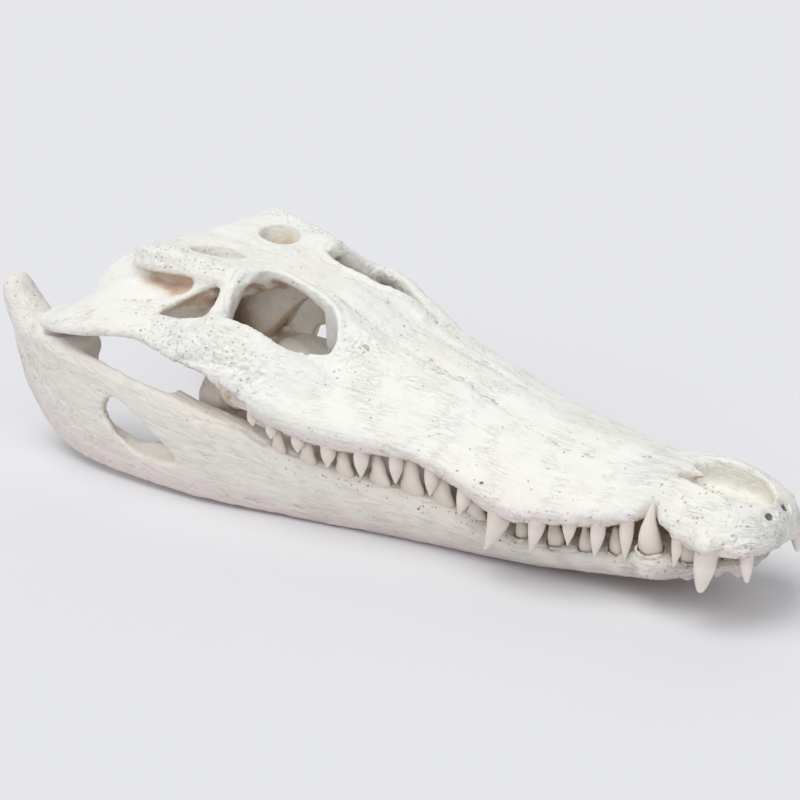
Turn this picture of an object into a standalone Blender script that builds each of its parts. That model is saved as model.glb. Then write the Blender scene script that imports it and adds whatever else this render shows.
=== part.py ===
"""Crocodile skull at life size: the cranium and the two halves of the lower jaw.

Every station below is a fraction of the cranium's dorsal length: s runs from the tip of the snout
(0) to the rear of the skull table (1), y is the distance from the midline and z the height above
the palate. The snout points to +X and the animal's right side to -Y.
"""

import math

import bmesh
import bpy
import numpy as np
from mathutils import Matrix, Vector

# Driving dimensions, in metres and degrees
LENGTH = 0.400          # tip of the snout to the rear of the skull table
PITCH = 4.8             # nose-down lean of the palate while the jaw rests on the floor
BITE_GAP = 0.0003       # clearance at the jaw joints and at the chin suture
VOXEL = 0.0019          # grain of the faceted bone
CRANIUM_FACES = 3600    # triangles kept for the cranium, teeth not counted
JAW_FACES = 1000        # triangles kept for each half of the lower jaw, teeth not counted
TOOTH_SIDES = 1         # roundness of a tooth
TABLE_WINDOW = (0.930, 0.058, 0.043, 0.027, 0.35)   # upper temporal opening: s, y, half sizes, turn
NOTCH = (0.144, 0.088, 0.019, 0.025, 0.0)           # groove for the fourth lower tooth
BONE_COLOUR = (0.87, 0.86, 0.81, 1.0)
JAW_COLOUR = (0.84, 0.81, 0.77, 1.0)
MIDLINE = -0.004        # how far a half piece reaches past the midline

# Eye opening: s and y of its outline
ORBIT = [
    (0.845, 0.088), (0.838, 0.067), (0.820, 0.053), (0.795, 0.0465), (0.760, 0.0465), (0.722, 0.0495),
    (0.693, 0.057), (0.670, 0.070), (0.657, 0.086), (0.661, 0.102), (0.682, 0.116), (0.713, 0.127),
    (0.745, 0.136), (0.785, 0.145), (0.820, 0.138), (0.838, 0.117),
]
# Nostril: s and y of its outline
NOSTRIL = [
    (0.033, -0.02), (0.034, 0.010), (0.041, 0.021), (0.058, 0.032), (0.086, 0.038), (0.108, 0.036),
    (0.124, 0.031), (0.137, 0.024), (0.144, 0.017), (0.143, 0.010), (0.134, 0.006), (0.130, -0.02),
]

# Snout and cheeks: s, half width, tooth margin, midline roof, shoulder y and z, wall y and z, palate
FACE = [
    (0.003, 0.020, 0.012, 0.031, 0.009, 0.030, 0.016, 0.024, 0.016),
    (0.012, 0.044, 0.007, 0.045, 0.020, 0.043, 0.036, 0.029, 0.014),
    (0.030, 0.066, 0.006, 0.057, 0.034, 0.052, 0.055, 0.032, 0.014),
    (0.060, 0.081, 0.006, 0.067, 0.043, 0.062, 0.070, 0.036, 0.014),
    (0.090, 0.087, 0.010, 0.071, 0.046, 0.067, 0.076, 0.039, 0.015),
    (0.120, 0.082, 0.020, 0.065, 0.048, 0.068, 0.073, 0.047, 0.018),
    (0.148, 0.075, 0.018, 0.060, 0.045, 0.065, 0.068, 0.044, 0.018),
    (0.170, 0.081, 0.007, 0.060, 0.045, 0.061, 0.071, 0.037, 0.016),
    (0.200, 0.096, -0.002, 0.061, 0.046, 0.055, 0.081, 0.028, 0.014),
    (0.235, 0.113, -0.007, 0.064, 0.050, 0.054, 0.091, 0.026, 0.012),
    (0.270, 0.128, -0.012, 0.064, 0.052, 0.053, 0.101, 0.023, 0.012),
    (0.310, 0.137, -0.017, 0.066, 0.055, 0.055, 0.108, 0.024, 0.012),
    (0.345, 0.137, -0.016, 0.069, 0.056, 0.058, 0.108, 0.027, 0.013),
    (0.390, 0.133, -0.005, 0.074, 0.058, 0.065, 0.106, 0.033, 0.014),
    (0.440, 0.132, 0.003, 0.082, 0.060, 0.074, 0.106, 0.041, 0.015),
    (0.470, 0.136, 0.009, 0.088, 0.062, 0.082, 0.108, 0.048, 0.016),
    (0.520, 0.146, 0.006, 0.095, 0.063, 0.091, 0.116, 0.053, 0.016),
    (0.560, 0.155, 0.000, 0.101, 0.063, 0.100, 0.123, 0.057, 0.016),
    (0.600, 0.164, -0.003, 0.107, 0.064, 0.108, 0.129, 0.061, 0.015),
    (0.640, 0.174, -0.001, 0.117, 0.064, 0.123, 0.135, 0.066, 0.014),
    (0.680, 0.184, 0.006, 0.131, 0.064, 0.139, 0.139, 0.077, 0.012),
    (0.715, 0.190, 0.014, 0.142, 0.062, 0.148, 0.143, 0.088, 0.012),
]
# Hollow of the snout below the eye: s, inner y, outer y, top z
HOLLOW = [
    (0.470, 0.055, 0.088, 0.010), (0.500, 0.046, 0.100, 0.032), (0.550, 0.042, 0.106, 0.052),
    (0.600, 0.041, 0.112, 0.060), (0.640, 0.041, 0.120, 0.064), (0.680, 0.041, 0.130, 0.072),
    (0.710, 0.041, 0.142, 0.090), (0.760, 0.041, 0.150, 0.120),
]
# Bony roof between the eyes: s, half width, midline z, rim z, thickness
ROOF = [
    (0.620, 0.060, 0.110, 0.116, 0.040), (0.680, 0.062, 0.134, 0.141, 0.040),
    (0.720, 0.056, 0.145, 0.151, 0.032), (0.760, 0.050, 0.154, 0.158, 0.026),
    (0.800, 0.050, 0.162, 0.164, 0.024), (0.825, 0.062, 0.167, 0.168, 0.024),
    (0.845, 0.082, 0.170, 0.168, 0.022), (0.870, 0.092, 0.171, 0.168, 0.022),
]
# Skull table: s, half width, midline z, edge z, thickness at the edge
TABLE = [
    (0.828, 0.086, 0.166, 0.165, 0.014), (0.842, 0.101, 0.166, 0.170, 0.016),
    (0.870, 0.111, 0.166, 0.175, 0.020), (0.920, 0.119, 0.166, 0.179, 0.027),
    (0.970, 0.126, 0.167, 0.181, 0.031), (1.006, 0.132, 0.169, 0.181, 0.031),
    (1.030, 0.130, 0.168, 0.176, 0.029), (1.046, 0.117, 0.162, 0.168, 0.022),
]
# Cheek bar: s, lower y and z, upper y and z, thickness
CHEEK = [
    (0.620, 0.156, 0.010, 0.112, 0.072, 0.030), (0.670, 0.172, 0.014, 0.124, 0.093, 0.030),
    (0.715, 0.184, 0.024, 0.134, 0.105, 0.027), (0.765, 0.191, 0.047, 0.143, 0.121, 0.024),
    (0.820, 0.196, 0.058, 0.149, 0.124, 0.021), (0.870, 0.199, 0.060, 0.153, 0.110, 0.020),
    (0.910, 0.204, 0.070, 0.157, 0.101, 0.020), (0.950, 0.208, 0.076, 0.158, 0.098, 0.020),
    (1.000, 0.215, 0.068, 0.163, 0.105, 0.022), (1.060, 0.222, 0.056, 0.178, 0.095, 0.024),
    (1.110, 0.226, 0.048, 0.196, 0.074, 0.026), (1.148, 0.222, 0.044, 0.206, 0.056, 0.024),
]
# Quadrate: s, outer y and z, inner y and z, thickness
QUADRATE = [
    (0.862, 0.112, 0.154, 0.100, 0.158, 0.010), (0.900, 0.131, 0.132, 0.100, 0.142, 0.012),
    (0.935, 0.148, 0.109, 0.102, 0.129, 0.015), (0.965, 0.160, 0.093, 0.104, 0.124, 0.020),
    (1.010, 0.180, 0.091, 0.106, 0.122, 0.026), (1.050, 0.198, 0.081, 0.110, 0.114, 0.031),
    (1.090, 0.214, 0.066, 0.126, 0.092, 0.036), (1.125, 0.222, 0.052, 0.142, 0.066, 0.037),
    (1.156, 0.222, 0.048, 0.150, 0.051, 0.034), (1.171, 0.218, 0.046, 0.154, 0.047, 0.028),
    (1.178, 0.210, 0.045, 0.162, 0.046, 0.014),
]
# Floor of the ear recess, between the quadrate and the braincase: s, outer y z, inner y z, thickness
EAR_FLOOR = [
    (0.880, 0.112, 0.132, 0.030, 0.124, 0.012), (0.930, 0.122, 0.118, 0.030, 0.120, 0.014),
    (0.980, 0.128, 0.114, 0.030, 0.118, 0.018), (1.040, 0.130, 0.112, 0.030, 0.118, 0.020),
]
# Wall that closes the ear recess in front: s, lower y and z, upper y and z, thickness
EAR_FRONT = [
    (0.850, 0.110, 0.148, 0.100, 0.166, 0.016), (0.885, 0.118, 0.140, 0.107, 0.166, 0.014),
    (0.905, 0.121, 0.134, 0.108, 0.164, 0.012), (0.920, 0.118, 0.130, 0.106, 0.160, 0.008),
]
# Inner wall of the ear recess: s, lower y and z, upper y and z, thickness
EAR_INNER = [
    (0.885, 0.102, 0.124, 0.098, 0.164, 0.010), (0.940, 0.104, 0.116, 0.099, 0.166, 0.013),
    (0.990, 0.106, 0.114, 0.100, 0.166, 0.014), (1.025, 0.104, 0.114, 0.100, 0.164, 0.016),
]
# Wall from the quadrate down to the braincase: s, lower y and z, upper y and z, thickness
DEEP_WALL = [
    (0.900, 0.040, 0.040, 0.116, 0.130, 0.014), (0.940, 0.042, 0.030, 0.130, 0.110, 0.018),
    (0.980, 0.046, 0.030, 0.142, 0.096, 0.020), (1.015, 0.054, 0.042, 0.150, 0.092, 0.020),
    (1.040, 0.080, 0.064, 0.150, 0.090, 0.016),
]
# Braincase: s, top half width, waist half width and z, keel half width and z
BRAINCASE = [
    (0.805, 0.020, 0.012, 0.135, 0.006, 0.118), (0.850, 0.036, 0.022, 0.130, 0.010, 0.085),
    (0.900, 0.044, 0.030, 0.110, 0.014, 0.040), (0.950, 0.060, 0.040, 0.110, 0.020, 0.016),
    (1.000, 0.090, 0.046, 0.100, 0.030, 0.018), (1.022, 0.095, 0.044, 0.095, 0.030, 0.024),
]
# Back wall of the skull from the midline out: y, front s, rear s, bottom z, top z
OCCIPUT = [
    (-0.004, 0.980, 1.034, 0.086, 0.166), (0.040, 0.980, 1.034, 0.080, 0.166),
    (0.080, 0.985, 1.042, 0.090, 0.167), (0.108, 1.005, 1.054, 0.100, 0.168),
    (0.126, 1.018, 1.080, 0.096, 0.150), (0.142, 1.044, 1.104, 0.090, 0.128),
    (0.156, 1.070, 1.108, 0.084, 0.104),
]
# Pterygoid wing from the midline out: y, front s, rear s, bottom z, top z
WING = [
    (-0.004, 0.730, 0.985, 0.012, 0.030), (0.040, 0.755, 0.965, 0.008, 0.026),
    (0.080, 0.775, 0.935, -0.006, 0.014), (0.118, 0.795, 0.912, -0.030, -0.004),
    (0.135, 0.802, 0.900, -0.046, -0.010), (0.143, 0.822, 0.885, -0.044, -0.018),
]
# Lower jaw: s, outer y, top z, bottom z, keel y, width at the top and at mid height
JAW = [
    (0.036, 0.022, -0.011, -0.024, 0.008, 0.026, 0.024),
    (0.048, 0.038, -0.012, -0.029, 0.013, 0.042, 0.034),
    (0.070, 0.052, -0.016, -0.038, 0.020, 0.056, 0.044),
    (0.100, 0.063, -0.021, -0.052, 0.028, 0.067, 0.050),
    (0.141, 0.084, -0.019, -0.070, 0.036, 0.088, 0.062),
    (0.170, 0.075, -0.028, -0.077, 0.042, 0.054, 0.046),
    (0.200, 0.079, -0.038, -0.083, 0.047, 0.046, 0.038),
    (0.250, 0.090, -0.047, -0.093, 0.055, 0.044, 0.034),
    (0.320, 0.102, -0.054, -0.106, 0.066, 0.043, 0.032),
    (0.400, 0.112, -0.046, -0.116, 0.079, 0.042, 0.031),
    (0.480, 0.124, -0.042, -0.123, 0.094, 0.042, 0.030),
    (0.580, 0.143, -0.041, -0.131, 0.116, 0.041, 0.030),
    (0.650, 0.158, -0.036, -0.136, 0.134, 0.042, 0.030),
    (0.720, 0.174, -0.026, -0.140, 0.152, 0.043, 0.030),
    (0.780, 0.190, -0.012, -0.143, 0.168, 0.038, 0.030),
    (0.850, 0.203, -0.003, -0.147, 0.182, 0.038, 0.030),
    (0.950, 0.213, 0.007, -0.152, 0.193, 0.042, 0.032),
    (1.040, 0.218, 0.016, -0.156, 0.198, 0.050, 0.032),
    (1.095, 0.222, 0.020, -0.158, 0.198, 0.066, 0.034),
    (1.140, 0.222, 0.030, -0.157, 0.195, 0.076, 0.036),
    (1.180, 0.214, 0.036, -0.151, 0.191, 0.074, 0.038),
    (1.215, 0.204, 0.030, -0.140, 0.186, 0.060, 0.038),
    (1.250, 0.196, 0.022, -0.120, 0.181, 0.048, 0.036),
    (1.284, 0.190, 0.030, -0.088, 0.177, 0.038, 0.032),
    (1.304, 0.186, 0.048, -0.046, 0.174, 0.030, 0.028),
]
# Rear process of the lower jaw: s, y, z, radius
HEEL = [
    (1.214, 0.170, -0.012, 0.032), (1.250, 0.170, 0.008, 0.033), (1.278, 0.170, 0.032, 0.031),
    (1.292, 0.170, 0.050, 0.028), (1.298, 0.170, 0.066, 0.024),
]
# Opening in the side of the lower jaw: s and z of its outline
SIDE_WINDOW = [
    (1.028, -0.050), (1.012, -0.032), (0.985, -0.030), (0.945, -0.046), (0.905, -0.070),
    (0.880, -0.088), (0.888, -0.100), (0.925, -0.108), (0.965, -0.106), (1.000, -0.092),
    (1.024, -0.070),
]
# Upper teeth: s, y and z of the root, length, radius, lean back, splay
UPPER_TEETH = [
    (0.024, 0.050, 0.006, 0.029, 0.0069, -0.10, 0.10), (0.060, 0.077, 0.008, 0.048, 0.0120, 0.06, 0.16),
    (0.096, 0.081, 0.014, 0.035, 0.0069, 0.10, 0.10), (0.172, 0.076, 0.008, 0.048, 0.0076, 0.00, 0.06),
    (0.202, 0.091, 0.001, 0.043, 0.0081, 0.08, 0.10), (0.233, 0.106, -0.003, 0.029, 0.0079, 0.05, 0.12),
    (0.272, 0.119, -0.008, 0.044, 0.0101, 0.20, 0.16), (0.328, 0.122, -0.012, 0.062, 0.0144, 0.38, 0.18),
    (0.386, 0.122, -0.004, 0.038, 0.0093, 0.30, 0.10), (0.442, 0.123, 0.004, 0.036, 0.0091, 0.12, 0.06),
    (0.498, 0.131, 0.008, 0.038, 0.0091, 0.04, 0.06), (0.550, 0.143, 0.003, 0.037, 0.0095, 0.04, 0.06),
    (0.601, 0.154, 0.000, 0.033, 0.0096, 0.10, 0.04), (0.648, 0.165, 0.002, 0.024, 0.0089, 0.10, 0.04),
    (0.690, 0.175, 0.007, 0.019, 0.0077, 0.10, 0.04), (0.712, 0.180, 0.012, 0.015, 0.0065, 0.00, 0.02),
]
# Teeth of the left side that are worn down: place in the row of upper teeth, length left
WORN_LEFT = {1: 0.020}
# Lower teeth: s, y and z of the root, length, radius, lean back, splay
LOWER_TEETH = [
    (0.054, 0.018, -0.022, 0.014, 0.0046, -0.20, 0.10), (0.074, 0.034, -0.022, 0.018, 0.0052, -0.10, 0.14),
    (0.102, 0.050, -0.024, 0.028, 0.0077, 0.00, 0.16), (0.143, 0.067, -0.019, 0.066, 0.0126, -0.08, 0.26),
    (0.193, 0.064, -0.040, 0.032, 0.0089, 0.10, 0.12), (0.233, 0.072, -0.050, 0.038, 0.0083, 0.12, 0.14),
    (0.274, 0.080, -0.053, 0.034, 0.0089, 0.16, 0.12), (0.322, 0.088, -0.058, 0.032, 0.0077, 0.06, 0.10),
    (0.388, 0.100, -0.047, 0.027, 0.0103, 0.00, 0.08), (0.438, 0.107, -0.042, 0.042, 0.0123, 0.04, 0.08),
    (0.487, 0.114, -0.040, 0.046, 0.0132, 0.00, 0.08), (0.535, 0.125, -0.040, 0.040, 0.0121, 0.10, 0.06),
    (0.590, 0.137, -0.040, 0.034, 0.0114, 0.06, 0.05), (0.647, 0.150, -0.036, 0.031, 0.0103, 0.00, 0.04),
    (0.693, 0.161, -0.030, 0.033, 0.0087, 0.12, 0.04),
]


def point(s, y, z):
    """A place on the animal's right side, given in fractions of the length."""
    return Vector((-s * LENGTH, -y * LENGTH, z * LENGTH))


def stations(table, count):
    """Rows of a table, evened out to a given count with a curve that never overshoots."""
    rows = np.array(table, dtype=float)
    t = rows[:, 0]
    sign = 1.0 if t[-1] > t[0] else -1.0
    step = np.diff(t)
    slope = np.diff(rows, axis=0) / step[:, None]
    tangent = np.zeros_like(rows)
    tangent[0] = slope[0]
    tangent[-1] = slope[-1]
    for i in range(1, len(t) - 1):
        both = slope[i - 1] * slope[i]
        total = slope[i - 1] + slope[i]
        safe = np.where(np.abs(total) < 1e-9, 1.0, total)
        tangent[i] = np.where(both > 0, 2.0 * both / safe, 0.0)
    where = np.linspace(t[0], t[-1], count)
    out = []
    for x in where:
        i = int(np.clip(np.searchsorted(sign * t, sign * x) - 1, 0, len(step) - 1))
        u = (x - t[i]) / step[i]
        h = step[i]
        row = (rows[i] * (1 + 2 * u) * (1 - u) ** 2 + tangent[i] * h * u * (1 - u) ** 2
               + rows[i + 1] * u * u * (3 - 2 * u) + tangent[i + 1] * h * u * u * (u - 1))
        row[0] = x
        out.append(row)
    return out


def rounded(corners, per_side):
    """A closed outline through the given corners, smoothed between them."""
    pts = np.array(corners, dtype=float)
    n = len(pts)
    out = []
    for i in range(n):
        a, b, c, d = pts[i - 1], pts[i], pts[(i + 1) % n], pts[(i + 2) % n]
        for k in range(per_side):
            u = k / per_side
            curve = (2 * b + (c - a) * u + (2 * a - 5 * b + 4 * c - d) * u * u
                     + (3 * b - a - 3 * c + d) * u ** 3) * 0.5
            out.append(curve)
    return out


def loft(name, rings):
    """A closed body through a row of outlines that all have the same number of points."""
    bm = bmesh.new()
    rows = [[bm.verts.new(p) for p in ring] for ring in rings]
    count = len(rows[0])
    for near, far in zip(rows, rows[1:]):
        for i in range(count):
            j = (i + 1) % count
            bm.faces.new((near[i], near[j], far[j], far[i]))
    bm.faces.new(rows[0][::-1])
    bm.faces.new(rows[-1])
    bmesh.ops.recalc_face_normals(bm, faces=bm.faces)
    bmesh.ops.triangulate(bm, faces=[f for f in bm.faces if len(f.verts) > 4])
    mesh = bpy.data.meshes.new(name)
    bm.to_mesh(mesh)
    bm.free()
    obj = bpy.data.objects.new(name, mesh)
    WORK.objects.link(obj)
    return obj


def settle(obj):
    """Replace an object's mesh by what its modifiers make of it."""
    depsgraph = bpy.context.evaluated_depsgraph_get()
    mesh = bpy.data.meshes.new_from_object(obj.evaluated_get(depsgraph), depsgraph=depsgraph)
    if obj.type == 'MESH':
        old = obj.data
        obj.modifiers.clear()
        obj.data = mesh
        bpy.data.meshes.remove(old)
        return obj
    made = bpy.data.objects.new(obj.name, mesh)
    made.matrix_world = obj.matrix_world
    WORK.objects.link(made)
    bpy.data.objects.remove(obj)
    bm = bmesh.new()
    bm.from_mesh(mesh)
    bmesh.ops.remove_doubles(bm, verts=bm.verts, dist=0.00001)
    bmesh.ops.recalc_face_normals(bm, faces=bm.faces)
    bm.to_mesh(mesh)
    bm.free()
    return made


def rod(name, places, radii, sides=2):
    """A round bar through the given places with a radius at each."""
    data = bpy.data.curves.new(name, 'CURVE')
    data.dimensions = '3D'
    data.bevel_depth = 1.0
    data.bevel_resolution = sides
    data.use_fill_caps = True
    line = data.splines.new('POLY')
    line.points.add(len(places) - 1)
    for spot, place, radius in zip(line.points, places, radii):
        spot.co = (place.x, place.y, place.z, 1.0)
        spot.radius = radius
    obj = bpy.data.objects.new(name, data)
    WORK.objects.link(obj)
    return settle(obj)


def ball(name, centre, radii):
    """An ellipsoid."""
    bm = bmesh.new()
    bmesh.ops.create_uvsphere(bm, u_segments=20, v_segments=12, radius=1.0)
    mesh = bpy.data.meshes.new(name)
    bm.to_mesh(mesh)
    bm.free()
    mesh.transform(Matrix.Translation(centre) @ Matrix.Diagonal((*radii, 1.0)))
    obj = bpy.data.objects.new(name, mesh)
    WORK.objects.link(obj)
    return obj


def shaft(name, outline, low, high):
    """A cutter that stands upright on a plan outline of s and y."""
    return loft(name, [[point(s, y, z) for s, y in outline] for z in (low, high)])


def oval(s, y, half_s, half_y, turn, count=28):
    """Plan outline of an oval opening, turned so that its front end comes nearer the midline."""
    c, d = math.cos(turn), math.sin(turn)
    around = [2 * math.pi * i / count for i in range(count)]
    return [(s + half_s * math.cos(a) * c - half_y * math.sin(a) * d,
             y + half_s * math.cos(a) * d + half_y * math.sin(a) * c) for a in around]


def cut(obj, cutter):
    """Take a cutter away from a body."""
    change = obj.modifiers.new('opening', 'BOOLEAN')
    change.operation = 'DIFFERENCE'
    change.solver = 'EXACT'
    change.object = cutter
    settle(obj)
    for group in cutter.users_collection:
        group.objects.unlink(cutter)
    CUTTERS.objects.link(cutter)
    cutter.hide_render = True
    cutter.display_type = 'WIRE'
    return obj


def unite(obj, other):
    """Join a second body to the first."""
    change = obj.modifiers.new('growth', 'BOOLEAN')
    change.operation = 'UNION'
    change.solver = 'EXACT'
    change.object = other
    settle(obj)
    bpy.data.objects.remove(other)
    return obj


def slab(low, high, thick):
    """Outline across a flat bar from its lower to its upper edge: y and z."""
    a = np.array(low)
    b = np.array(high)
    along = (b - a) / max(np.linalg.norm(b - a), 1e-6)
    side = np.array((-along[1], along[0])) * thick * 0.5
    mid = (a + b) / 2
    return rounded([a, a + along * thick * 0.35 - side * 0.85, mid - side * 1.1,
                    b - along * thick * 0.35 - side * 0.85, b,
                    b - along * thick * 0.35 + side * 0.85, mid + side * 1.1,
                    a + along * thick * 0.35 + side * 0.85], 2)


def build_face():
    """Snout, upper jaw and the bone in front of the eyes."""
    rings = []
    for s, w, zm, zt, ys, zs, yb, zb, zp in stations(FACE, 56):
        bulge = 0.004 - 0.010 * math.exp(-((s - 0.638) / 0.030) ** 2)
        corners = [(MIDLINE, zt), (ys * 0.5, (zt + zs) / 2 + 0.0015), (ys, zs),
                   ((ys + yb) / 2 + 0.003, (zs + zb) / 2 + bulge), (yb, zb),
                   (w - 0.001, (zb + zm) / 2 + 0.002), (w, zm + 0.008), (w - 0.006, zm),
                   (w - 0.020, zm + 0.003),
                   (w * 0.5, zp - 0.001), (MIDLINE, zp)]
        rings.append([point(s, y, z) for y, z in rounded(corners, 2)])
    face = loft('face', rings)
    hollow = []
    for s, yi, yo, zt in stations(HOLLOW, 12):
        corners = [(yi, -0.06), (yi, zt * 0.5), (yi + 0.012, zt - 0.004), ((yi + yo) / 2, zt),
                   (yo - 0.014, zt - 0.012), (yo, zt * 0.35), (yo, -0.06)]
        hollow.append([point(s, y, z) for y, z in corners])
    cut(face, loft('hollow', hollow))
    cut(face, shaft('eye_opening_front', rounded(ORBIT, 2), 0.03, 0.30))
    cut(face, shaft('nostril', NOSTRIL, 0.040, 0.12))
    cut(face, shaft('tooth_notch', oval(*NOTCH), -0.08, 0.044))
    return face


def build_roof():
    """Bone between the eyes, rising to the skull table."""
    rings = []
    for s, w, zt, zr, thick in stations(ROOF, 20):
        corners = [(MIDLINE, zt), (w * 0.5, (zt + zr) / 2 - 0.001), (w - 0.005, zr), (w, zr - 0.006),
                   (w - 0.008, zr - thick * 0.7), (w * 0.4, zt - thick), (MIDLINE, zt - thick)]
        rings.append([point(s, y, z) for y, z in rounded(corners, 2)])
    roof = loft('roof', rings)
    cut(roof, shaft('eye_opening_inner', rounded(ORBIT, 2), 0.03, 0.30))
    return roof


def build_table():
    """Flat skull table with its upper temporal opening."""
    rings = []
    for s, w, zt, ze, thick in stations(TABLE, 16):
        corners = [(MIDLINE, zt), (w * 0.5, zt * 0.55 + ze * 0.45 - 0.001), (w - 0.012, ze),
                   (w - 0.002, ze - 0.006), (w + 0.006, ze - thick), (w - 0.016, ze - thick * 1.20),
                   (w * 0.5, zt - 0.030), (MIDLINE, zt - 0.032)]
        rings.append([point(s, y, z) for y, z in rounded(corners, 2)])
    table = loft('table', rings)
    cut(table, shaft('table_window', oval(*TABLE_WINDOW), 0.05, 0.30))
    return table


def build_braincase():
    """Box of the brain under the table, with the hole for the spinal cord behind."""
    rings = []
    for s, top, waist, zw, keel, zk in stations(BRAINCASE, 14):
        corners = [(MIDLINE, 0.160), (top, 0.158), (waist, zw), (keel, zk), (MIDLINE, zk - 0.002)]
        rings.append([point(s, y, z) for y, z in rounded(corners, 3)])
    box = loft('braincase', rings)
    cut(box, shaft('temporal_shaft', oval(*TABLE_WINDOW), 0.112, 0.30))
    return box


def plate(name, table, count):
    """A wing that runs outward from the midline: rows of y, front s, rear s, bottom and top z."""
    rings = []
    for y, front, rear, low, high in stations(table, count):
        mid = (front + rear) / 2
        soft = (rear - front) * 0.06
        corners = [(front, (low + high) / 2), (front + soft, high), (mid, high), (rear - soft, high),
                   (rear, (low + high) / 2), (rear - soft, low), (mid, low), (front + soft, low)]
        rings.append([point(s, y, z) for s, z in rounded(corners, 2)])
    return loft(name, rings)


def flat_bar(name, table, count):
    """A flat bar that runs lengthwise: rows of s, lower y z, upper y z, thickness."""
    rings = []
    for s, y0, z0, y1, z1, thick in stations(table, count):
        rings.append([point(s, y, z) for y, z in slab((y0, z0), (y1, z1), thick)])
    return loft(name, rings)


def tooth(name, row, up):
    """A curved cone that starts inside the bone."""
    s, y, z, length, radius, lean, splay = row
    heading = 1.0 if up else -1.0
    places = []
    radii = []
    for t, r in ((-0.18, 0.92), (0.30, 0.92), (0.72, 0.50), (1.0, 0.08)):
        bend = t * t if t > 0 else 0.0
        ahead = s + lean * length * bend
        aside = y + splay * length * (t - 0.6 * bend)
        places.append(point(ahead, aside, z + heading * length * t))
        radii.append(radius * r * LENGTH)
    return rod(name, places, radii, TOOTH_SIDES)


def grow(name, pieces, faces, both_sides):
    """Grow overlapping pieces into one body with even, flat facets."""
    bm = bmesh.new()
    for piece in pieces:
        bm.from_mesh(piece.data)
        bpy.data.objects.remove(piece)
    mesh = bpy.data.meshes.new(name)
    bm.to_mesh(mesh)
    bm.free()
    obj = bpy.data.objects.new(name, mesh)
    WORK.objects.link(obj)
    if both_sides:
        mirror = obj.modifiers.new('other side', 'MIRROR')
        mirror.use_axis = (False, True, False)
        mirror.use_mirror_merge = False
        mirror.merge_threshold = 0.0001
    grain = obj.modifiers.new('grain', 'REMESH')
    grain.mode = 'VOXEL'
    grain.voxel_size = VOXEL
    soften = obj.modifiers.new('soften', 'SMOOTH')
    soften.factor = 0.5
    soften.iterations = 4
    settle(obj)
    keep_largest(obj)
    fewer = obj.modifiers.new('facets', 'DECIMATE')
    fewer.ratio = faces / (2.0 * len(obj.data.polygons))
    fewer.use_collapse_triangulate = True
    settle(obj)
    return obj


def keep_largest(obj):
    """Drop any crumb that is not joined to the main body."""
    bm = bmesh.new()
    bm.from_mesh(obj.data)
    seen = set()
    best = []
    for start in bm.verts:
        if start in seen:
            continue
        stack = [start]
        seen.add(start)
        group = []
        while stack:
            v = stack.pop()
            group.append(v)
            for edge in v.link_edges:
                w = edge.other_vert(v)
                if w not in seen:
                    seen.add(w)
                    stack.append(w)
        if len(group) > len(best):
            best = group
    kept = set(best)
    bmesh.ops.delete(bm, geom=[v for v in bm.verts if v not in kept], context='VERTS')
    bm.to_mesh(obj.data)
    bm.free()


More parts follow.
